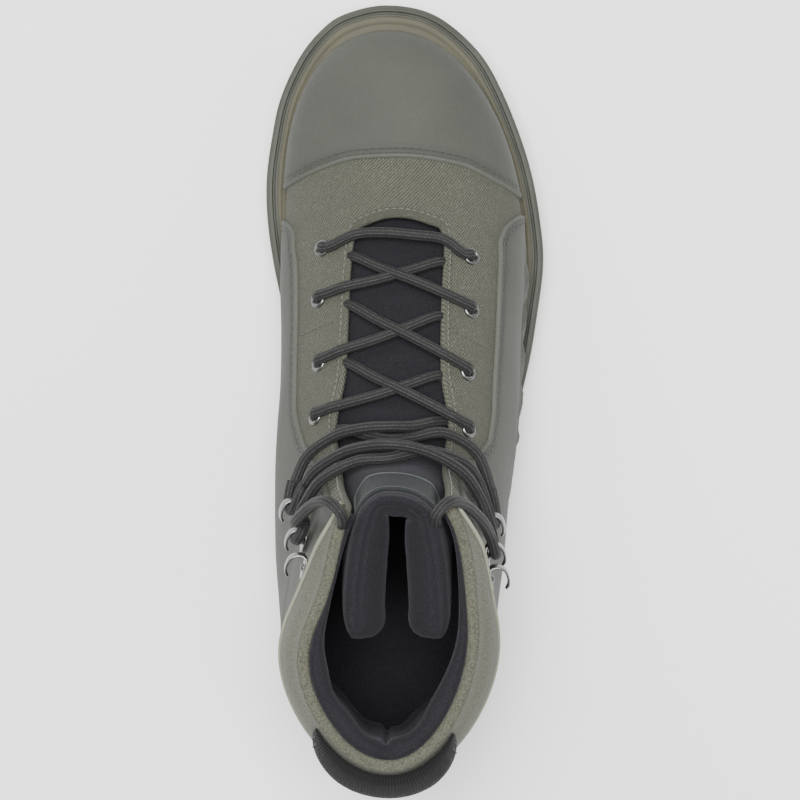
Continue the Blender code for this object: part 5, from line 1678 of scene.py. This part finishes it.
def build_tongue():
    """Padded tongue: a flat tail below, a thick rolled horseshoe with round ends at the top."""
    rows = 1 - np.linspace(1, 0, 130) ** 1.7
    count = 90
    middle, thick, trims = [], [], []
    for row in rows:
        top = max(0.0, 1 - (1 - row) / TONGUE_ROLL)
        trims.append(TONGUE_LOBE * (1 - (1 - top**2.2) ** (1 / 2.2)))
        section = tongue_section(row)
        face, back = section[:TONGUE_POINTS], section[TONGUE_POINTS:][::-1]
        line = (face + back) / 2
        at = length_along(line)
        spread = 0.5 - 0.5 * np.cos(np.linspace(0, math.pi, count))
        first, last = trims[-1] - 0.001, at[-1] - trims[-1] + 0.001
        even_at = first + (last - first) * (0.45 * spread + 0.55 * np.linspace(0, 1, count))
        cut = at[-1] * 0.07
        points = pick(even_at, at, line)
        for end, sign in ((cut, 1), (at[-1] - cut, -1)):
            near, far = pick(np.array([end, end + sign * 0.0015]), at, line)
            beyond = np.maximum((end - even_at) * sign, 0)[:, None]
            points = np.where(beyond > 0, near + (near - far) / 0.0015 * beyond, points)
        middle.append(points)
        thick.append(np.interp(even_at, at, np.linalg.norm(face - back, axis=1)))
    middle, thick = np.array(middle), np.array(thick)
    ahead = np.gradient(middle, axis=1)
    lean = np.radians(read(TONGUE, 7, rows))
    plane = np.stack([-np.sin(lean), 0 * lean, np.cos(lean)], axis=-1)
    out = np.cross(ahead, plane[:, None, :])
    out /= np.linalg.norm(out, axis=-1, keepdims=True)
    if out[-1, count // 2, 0] < 0:
        out = -out
    run = np.zeros(middle.shape[:2])
    run[:, 1:] = np.cumsum(np.linalg.norm(ahead[:, 1:], axis=-1), axis=1)
    whole = run[:, -1:]
    near_end = np.minimum(run, whole - run) + np.array(trims)[:, None]
    r = rows[:, None]
    arm = np.clip(np.abs(run / whole - 0.5) * 2 / 0.55, 0, 1)
    low = np.clip(1 - r / 0.03, 0, 1)

    def rounded(reach_side, reach_top):
        side = np.clip(1 - near_end / reach_side, 0, 1)
        top = np.clip(1 - (1 - r) / reach_top, 0, 1)
        return np.sqrt(np.clip(1 - side**2.2 - np.maximum(top, low) ** 2.2, 0.0004, 1))

    fold = (0.0052 + 0.0034 * arm**2) * np.exp(-(((r - 0.94) / 0.13) ** 2))
    fold = fold + 0.0007 * np.sin(arm * 8 + r * 23) * np.clip((r - 0.7) * 4, 0, 1)
    slide = 0.0034 * np.clip(1 - near_end / 0.011, 0, 1) ** 1.6 * np.clip((r - 0.75) * 6, 0, 1)
    deep = (thick / 2 + fold) * rounded(TONGUE_LOBE, TONGUE_ROLL)
    groove = np.exp(-(((deep - 0.0021) / 0.0006) ** 2)) * np.clip((r - 0.9) * 20, 0, 1)
    groove = groove * np.clip((near_end - 0.003) / 0.004, 0, 1)
    outer = middle + out * (thick / 2 * rounded(0.0065, 0.034) - slide)[..., None]
    inner = middle - out * (deep + slide)[..., None]
    inner[..., 2] -= 0.0011 * groove
    verts = np.concatenate([outer, inner[:, ::-1]], axis=1)
    width = verts.shape[1]
    faces = grid_faces(len(rows), width, wrap_width=True)
    for base in (0, (len(rows) - 1) * width):
        for k in range(count - 1):
            a, b = base + k, base + width - 1 - k
            faces.append((a, a + 1, b - 1, b))
    u = np.broadcast_to(np.arange(width) * 0.001, (len(rows), width))
    v = np.broadcast_to(r * 0.2, (len(rows), width))
    cloth = np.stack([u, v, np.zeros_like(u)], axis=-1)
    piece = add("tongue_padding", verts, faces, TONGUE_CLOTH, cloth)
    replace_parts(piece, "tongue")


build_tongue()


def build_patch():
    """The bare woven patch at the tongue's top, with a lighter line round it."""
    rows = np.linspace(PATCH_ROWS[0], PATCH_ROWS[1], 26)
    sections = np.array([tongue_section(row)[:TONGUE_POINTS] for row in rows])
    inset = int(TONGUE_POINTS * 3 / 14)
    face = sections[:, inset:-inset]
    run = np.gradient(face, axis=1)
    rise = np.gradient(face, axis=0)
    out = np.cross(run, rise)
    out /= np.linalg.norm(out, axis=-1, keepdims=True)
    if out[..., 0].mean() < 0:
        out = -out
    r = np.linspace(0, 1, len(rows))[:, None]
    s = np.linspace(0, 1, face.shape[1])[None, :]
    edge = np.minimum(np.minimum(r, 1 - r) * 26, np.minimum(s, 1 - s) * 40)
    high = 0.0004 + 0.0008 * np.sqrt(np.clip(edge / 1.5, 0, 1))
    high = high + 0.0003 * np.exp(-(((edge - 2.4) / 0.6) ** 2))
    verts = face + out * high[..., None]
    cloth = np.stack(np.broadcast_arrays(s * 0.03, r * 0.025, edge), axis=-1)
    piece = add("patch_cloth", verts, grid_faces(*high.shape), patch_look(), cloth)
    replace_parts(piece, "tongue_patch")


def patch_look():
    n = Nodes("bare_patch")
    u, v, edge = n.parts(n.cloth())
    yarn = n.math("MAXIMUM", n.wave(u, 0.0006), n.wave(v, 0.0005))
    base = n.mix(yarn, (0.007, 0.008, 0.009), (0.016, 0.018, 0.019))
    line = n.math("MULTIPLY", n.ramp(edge, 0.0, 1.0, 1.7, 2.1), n.ramp(edge, 1.0, 0.0, 2.9, 3.3))
    base = n.mix(n.math("MULTIPLY", line, 0.8), base, (0.11, 0.125, 0.12))
    return n.finish(base, 0.7, n.bump(yarn, 0.0001, 0.8), Sheen_Weight=0.02, Specular_IOR_Level=0.2)


build_patch()


def build_pull_loop():
    ribs = np.linspace(-1, 1, 121)
    off = GAP * 3 + OVERLAY * 1.3
    heights = np.linspace(LOOP_BAND[0][0], LOOP_BAND[-1][0], 15)
    bulges = read(LOOP_BAND, 1, heights)
    round_edge = np.sqrt(np.clip(1 - (np.abs(np.linspace(-1, 1, 15)) * 0.97) ** 8, 0, 1))
    near, far = [], []
    for inner, shares in ((False, ribs[ribs < 0]), (True, ribs[ribs >= 0])):
        _, end, _, high = rib_ends(np.abs(shares) * LOOP_REACH, inner)
        level = np.zeros((len(shares), len(heights), 3))
        narrow = np.sqrt(np.clip(1.02 - np.abs(shares) ** 3, 0, 1))[:, None]
        drawn = heights[-1] - (heights[-1] - heights)[None] * narrow
        level[..., 2] = drawn * COLLAR_HEIGHT - end[:, 2:]
        point = cast(high[:, None] + level, end[:, None] + level)
        out = normals(point)
        slack = (1 - shares**4)[:, None] ** 1.5
        lift = off + bulges * slack
        body = LOOP_THICK * (0.35 + 0.65 * narrow)
        near.append(point + out * (lift - 0.0016 * slack + body * 0.5 * (1 - round_edge))[..., None])
        far.append(point + out * (lift + body * 0.5 * (1 + round_edge))[..., None])
    near, far = np.concatenate(near), np.concatenate(far)
    rows = np.concatenate([near, far[:, ::-1]], axis=1)
    along = np.broadcast_to(ribs[:, None] * 0.034, rows.shape[:2])
    over = np.arange(15) * 0.0017
    across = np.broadcast_to(np.concatenate([over, over[::-1]]), rows.shape[:2])
    cloth = np.stack([along, across, 0 * along], axis=-1)
    piece = loft("loop_webbing", rows, WEB, cloth)
    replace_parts(piece, "pull_loop")
    outs = far[:, 7] - near[:, 7]
    for k in (5, 9, 111, 115):
        line = far[k, 2:-2]
        BLACK_STITCH.row(line, np.repeat(outs[k][None], len(line), axis=0), pitch=0.0026)


build_pull_loop()


def build_insole():
    rows = []
    for inset, up in (
        (0.0010, 0.0),
        (0.0, 0.0010),
        (0.0, INSOLE - 0.0008),
        (0.0004, INSOLE - 0.0002),
        (0.0016, INSOLE),
    ):
        ring = BASE[0] - BASE_OUT[0] * (WALL + GAP + 0.0006 + inset)
        ring[:, 2] = sole_top(ring[:, 0]) + GAP + up
        rows.append(ring)
    piece = loft("footbed", rows, LINER, strips=True)
    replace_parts(piece, "insole")


build_insole()


# The sole, finer than the CAD and with rounded edges
SOLE_RIBS = 220
SOLE_PLACES = read(RIB_START, 1, np.linspace(0, 1, SOLE_RIBS + 1)) * SOLE_LENGTH


def sole_ring(inset):
    inner = np.stack([SOLE_PLACES, sole_edge(SOLE_PLACES, True)], axis=-1)
    outer = np.stack([SOLE_PLACES, sole_edge(SOLE_PLACES, False)], axis=-1)
    ring = np.concatenate([inner, outer[-2:0:-1]])
    run = np.roll(ring, -2, axis=0) - np.roll(ring, 2, axis=0)
    inward = np.stack([run[:, 1], -run[:, 0]], axis=-1)
    inward /= np.linalg.norm(inward, axis=1, keepdims=True)
    return ring + inward * np.asarray(inset).reshape(-1, 1)


def block(name, low, high):
    """A plain box as a trimming tool."""
    bpy.ops.mesh.primitive_cube_add(size=1)
    tool = bpy.context.object
    tool.name = name
    low, high = place(np.array([low, high]))
    tool.location = (low + high) / 2
    tool.scale = high - low
    return tool


def trim(piece, tool, operation):
    """Applies a Boolean at once and removes its tool."""
    change = piece.modifiers.new("trim", "BOOLEAN")
    change.operation = operation
    change.solver = "EXACT"
    change.object = tool
    bpy.context.view_layer.update()
    graph = bpy.context.evaluated_depsgraph_get()
    mesh = bpy.data.meshes.new_from_object(piece.evaluated_get(graph))
    piece.modifiers.clear()
    piece.data = mesh
    bpy.data.objects.remove(tool, do_unlink=True)
    mesh.shade_smooth()
    mesh.set_sharp_from_angle(angle=math.radians(38))


SIDE_FINE = (
    # share of the side's height, inset
    (0.000, 0.0020),
    (0.010, 0.0010),
    (0.035, 0.0004),
    (0.060, 0.0003),
    (0.340, 0.0003),
    (0.365, 0.0005),
    (0.385, 0.0012),
    (0.400, 0.0016),
    (0.430, 0.0017),
    (0.470, 0.0017),
    (0.500, 0.0015),
    (0.515, 0.0007),
    (0.535, 0.0002),
    (0.560, 0.0000),
    (0.700, 0.0000),
    (0.715, 0.0004),
    (0.730, 0.0006),
    (0.745, 0.0004),
    (0.760, 0.0000),
    (0.925, 0.0000),
    (0.965, 0.0003),
    (0.990, 0.0008),
    (1.000, 0.0014),
)


# A felt pad's side: inset, height
FELT_SIDE = (
    (0.0021, 0.0),
    (0.0011, 0.0006),
    (0.0007, 0.002),
    (0.0006, 0.004),
    (0.0006, 0.006),
    (0.0006, 0.008),
    (0.0007, 0.0095),
    (0.0010, FELT - 0.0003),
    (0.0016, FELT),
)
# The groove in the midsole's top, inside its rim: place, depth in WELT_GROOVE
RIM_GROOVE = (
    (0.4, 0.0),
    (0.75, 0.0),
    (0.9, 0.3),
    (1.0, 0.9),
    (1.3, 1.0),
    (1.6, 0.9),
    (1.75, 0.3),
    (1.95, 0.0),
)


def build_sole():
    ring = sole_ring(0)
    foot = ring[:, 0]
    share = foot / SOLE_LENGTH
    count = len(ring)
    for name, node, start, end in (
        ("heel_felt", "felt_heel", -0.1, HEEL_BREAST),
        ("front_felt", "felt_forefoot", FOREFOOT_START, 1.1),
    ):
        rows = []
        fuzz = rng.normal(0, 0.00016, (len(FELT_SIDE), count))
        for (inset, up), loose in zip(FELT_SIDE, fuzz):
            edge = sole_ring(inset + loose)
            rows.append(np.column_stack([edge, sole_under(edge[:, 0]) + up]))
        felt = loft(name, rows, FELT_LOOK, strips=True)
        low = (start * SOLE_LENGTH, -BALL_WIDTH, -0.02)
        high = (end * SOLE_LENGTH, BALL_WIDTH, 0.06)
        trim(felt, block("span", low, high), "INTERSECT")
        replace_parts(felt, node)
    under = sole_under(foot) + FELT + GAP
    over = sole_top(foot)
    length = length_along(ring)
    ribs = np.clip(np.sin(length / 0.0085 * math.tau) * 2.2, -1, 1) * 0.5 + 0.5
    ribbed = np.clip((share - 0.45) / 0.01, 0, 1) * np.clip((0.99 - share) / 0.004, 0, 1)
    rows = []
    for level, inset in SIDE_FINE:
        low_band = 1.0 if 0.05 < level < 0.35 else 0.0
        depth = inset + ribbed * ribs * 0.0007 * low_band
        rows.append(np.column_stack([sole_ring(depth), under + (over - under) * level]))
    for inset, drop in RIM_GROOVE:
        edge = sole_ring(RIM_WIDTH * 0.78 + (inset - 0.75) * WELT_GROOVE * 1.2)
        rows.append(np.column_stack([edge, sole_top(edge[:, 0]) - drop * WELT_GROOVE * 1.3]))
    sole = loft("rubber_midsole", rows, OUTSOLE, strips=True)
    start, end = HEEL_BREAST * SOLE_LENGTH, FOREFOOT_START * SOLE_LENGTH
    arc = [(start, -0.01), (start, FELT + 0.001), (start + 0.0015, FELT + ARCH_RISE * 0.75)]
    for t in np.linspace(0.08, 0.92, 14):
        arc.append((start + (end - start) * t, FELT + ARCH_RISE * (0.8 + 0.8 * t * (1 - t))))
    arc += [(end - 0.003, FELT + ARCH_RISE * 0.6), (end, FELT * 0.95), (end, -0.01)]
    verts = [(x, y, z) for y in (-BALL_WIDTH, BALL_WIDTH) for x, z in arc]
    n = len(arc)
    faces = [tuple(range(n)), tuple(range(n, 2 * n))]
    faces += [(k, (k + 1) % n, n + (k + 1) % n, n + k) for k in range(n)]
    data = bpy.data.meshes.new("arch")
    data.from_pydata(place(np.array(verts)).tolist(), [], faces)
    face_outward(data)
    tool = bpy.data.objects.new("arch", data)
    bpy.context.scene.collection.objects.link(tool)
    trim(sole, tool, "DIFFERENCE")
    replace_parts(sole, "midsole")


build_sole()


# The welt's section: share of its width from the upper outward, height in WELT_HEIGHT
WELT_SECTION = (
    (0.0, 0.2),
    (0.0, 0.9),
    (0.06, 1.0),
    (0.40, 1.0),
    (0.46, 0.86),
    (0.52, 0.86),
    (0.58, 1.0),
    (0.86, 1.0),
    (0.95, 0.86),
    (1.0, 0.55),
    (1.0, 0.1),
)


def build_welt():
    """The olive strip round the toe, rounded, with a pressed stitch line along it."""
    inset = RIM_WIDTH + 1.3 * WELT_GROOVE + GAP

    def section(rib, inner):
        ring = sole_line(rib, inner, GAP)
        start, _, low, _ = rib_ends(rib, inner)
        ray = (start - low) * (1.0, 1.0, 0.0)
        ray /= np.linalg.norm(ray, axis=-1, keepdims=True)
        out = normals(ring) * (1.0, 1.0, 0.0)
        out /= np.linalg.norm(out, axis=-1, keepdims=True)
        near = ring + out * (OVERLAY + GAP)
        far = start - ray * inset
        rows = []
        for t, up in WELT_SECTION:
            point = near + (far - near) * t
            point[:, 2] = sole_top(point[:, 0]) + GAP + WELT_HEIGHT * up
            rows.append(point)
        return np.stack(rows, axis=1)

    shares = [RIB_SHARES[RIB_SHARES > first] for first in WELT_START]
    strip = np.concatenate([section(shares[0], True), section(shares[1], False)[-2::-1]])
    piece = loft("olive_welt", strip, WELT_LOOK, closed=False)
    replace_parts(piece, "welt")


build_welt()


def lathe(profile, sides=40):
    """Points of a turned shape about Z."""
    verts = []
    for k in range(sides):
        turn = math.tau * k / sides
        verts += [(r * math.cos(turn), r * math.sin(turn), z) for r, z in profile]
    return np.array(verts), grid_faces(sides, len(profile), wrap_rows=True)


def stand(points, out):
    turn = Vector(out).to_track_quat("Z", "Y").to_matrix()
    return points @ np.array(turn).T


def build_eyelets():
    profile = []
    for angle in np.linspace(-0.2, math.pi + 0.2, 13):
        profile.append((0.0028 + 0.0009 * math.cos(angle), 0.00095 * math.sin(angle) + 0.0001))
    profile += [(0.00185, -0.0008), (0.0018, -0.0020)]
    verts, faces = lathe(profile)
    for inner in (True, False):
        for number in range(len(EYELETS)):
            point, out = eyelet_point(number, inner)
            name = f"eyelet_{'inner' if inner else 'outer'}_{number + 1}"
            piece = add("ring_" + name, point[0] + stand(verts, out[0]), faces, NICKEL)
            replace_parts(piece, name)


build_eyelets()


# A hook's rivet: radius, height
RIVET_DOME = (
    (0.0, 0.0009),
    (0.0006, 0.00085),
    (0.0011, 0.0006),
    (0.0014, 0.0002),
    (0.0015, -0.0003),
)


def build_hooks():
    bend = np.array(HOOK_BEND)
    fine = smooth_path(np.column_stack([bend[:, :2], bend[:, 2]]), 0.0004)
    run = np.gradient(fine[:, :2], axis=0)
    run /= np.linalg.norm(run, axis=1, keepdims=True)
    for inner in (True, False):
        for number in range(len(HOOKS)):
            foot, out, back, up = hook_frame(number, inner)
            rows = []
            for k, ((b, o, half), (rb, ro)) in enumerate(zip(fine, run)):
                tip = min(k, len(fine) - 1 - k)
                half = half * math.sqrt(min(1.0, (tip + 0.6) / 5))
                section = []
                for turn in np.linspace(0, math.tau, 20, endpoint=False):
                    w = half * np.sign(math.cos(turn)) * abs(math.cos(turn)) ** 0.5
                    t = HOOK_SHEET / 2 * np.sign(math.sin(turn)) * abs(math.sin(turn)) ** 0.6
                    section.append(foot + back * (b - ro * t) + out * (o + rb * t) + up * w)
                rows.append(section)
            name = f"hook_{'inner' if inner else 'outer'}_{number + 1}"
            piece = loft("plated_" + name, rows, NICKEL)
            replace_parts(piece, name)
            verts, faces = lathe(RIVET_DOME, 20)
            centre = foot + out * 0.0010
            add("rivet_" + name, centre + stand(verts, out), faces, NICKEL)


build_hooks()

STITCH.build("seam_thread_dark", DARK_THREAD)
PALE_STITCH.build("seam_thread_green", GREEN_THREAD)
BLACK_STITCH.build("loop_thread", BLACK_THREAD)


# Studio: pale floor and soft light
def studio():
    bpy.ops.mesh.primitive_plane_add(size=12)
    floor = bpy.context.object
    floor.name = "floor"
    floor.location = (0, 0, -0.0002)
    n = Nodes("pale_floor")
    shade = n.ramp(n.noise(1.5, 2.0), 0.95, 0.97)
    colour = n.node("ShaderNodeCombineColor", 0, {0: shade, 1: shade, 2: shade})
    floor.data.materials.append(n.finish(colour, 0.9, Specular_IOR_Level=0.1))
    world = bpy.data.worlds.new("studio")
    bpy.context.scene.world = world
    world.use_nodes = True
    world.node_tree.nodes["Background"].inputs[0].default_value = (1.0, 1.0, 1.0, 1.0)
    world.node_tree.nodes["Background"].inputs[1].default_value = 0.50
    for name, place_at, power, size in (
        ("overhead", (0.10, 0.05, 1.7), 58.0, 0.6),
        ("key", (0.75, 0.75, 1.10), 7.0, 0.7),
        ("fill", (-0.3, -1.0, 1.0), 4.0, 0.9),
    ):
        light = bpy.data.lights.new(name, "AREA")
        light.energy = power
        light.size = size
        lamp = bpy.data.objects.new(name, light)
        lamp.location = place_at
        aim = Vector((0, 0, 0.1)) - Vector(place_at)
        lamp.rotation_euler = aim.to_track_quat("-Z", "Y").to_euler()
        bpy.context.scene.collection.objects.link(lamp)


studio()
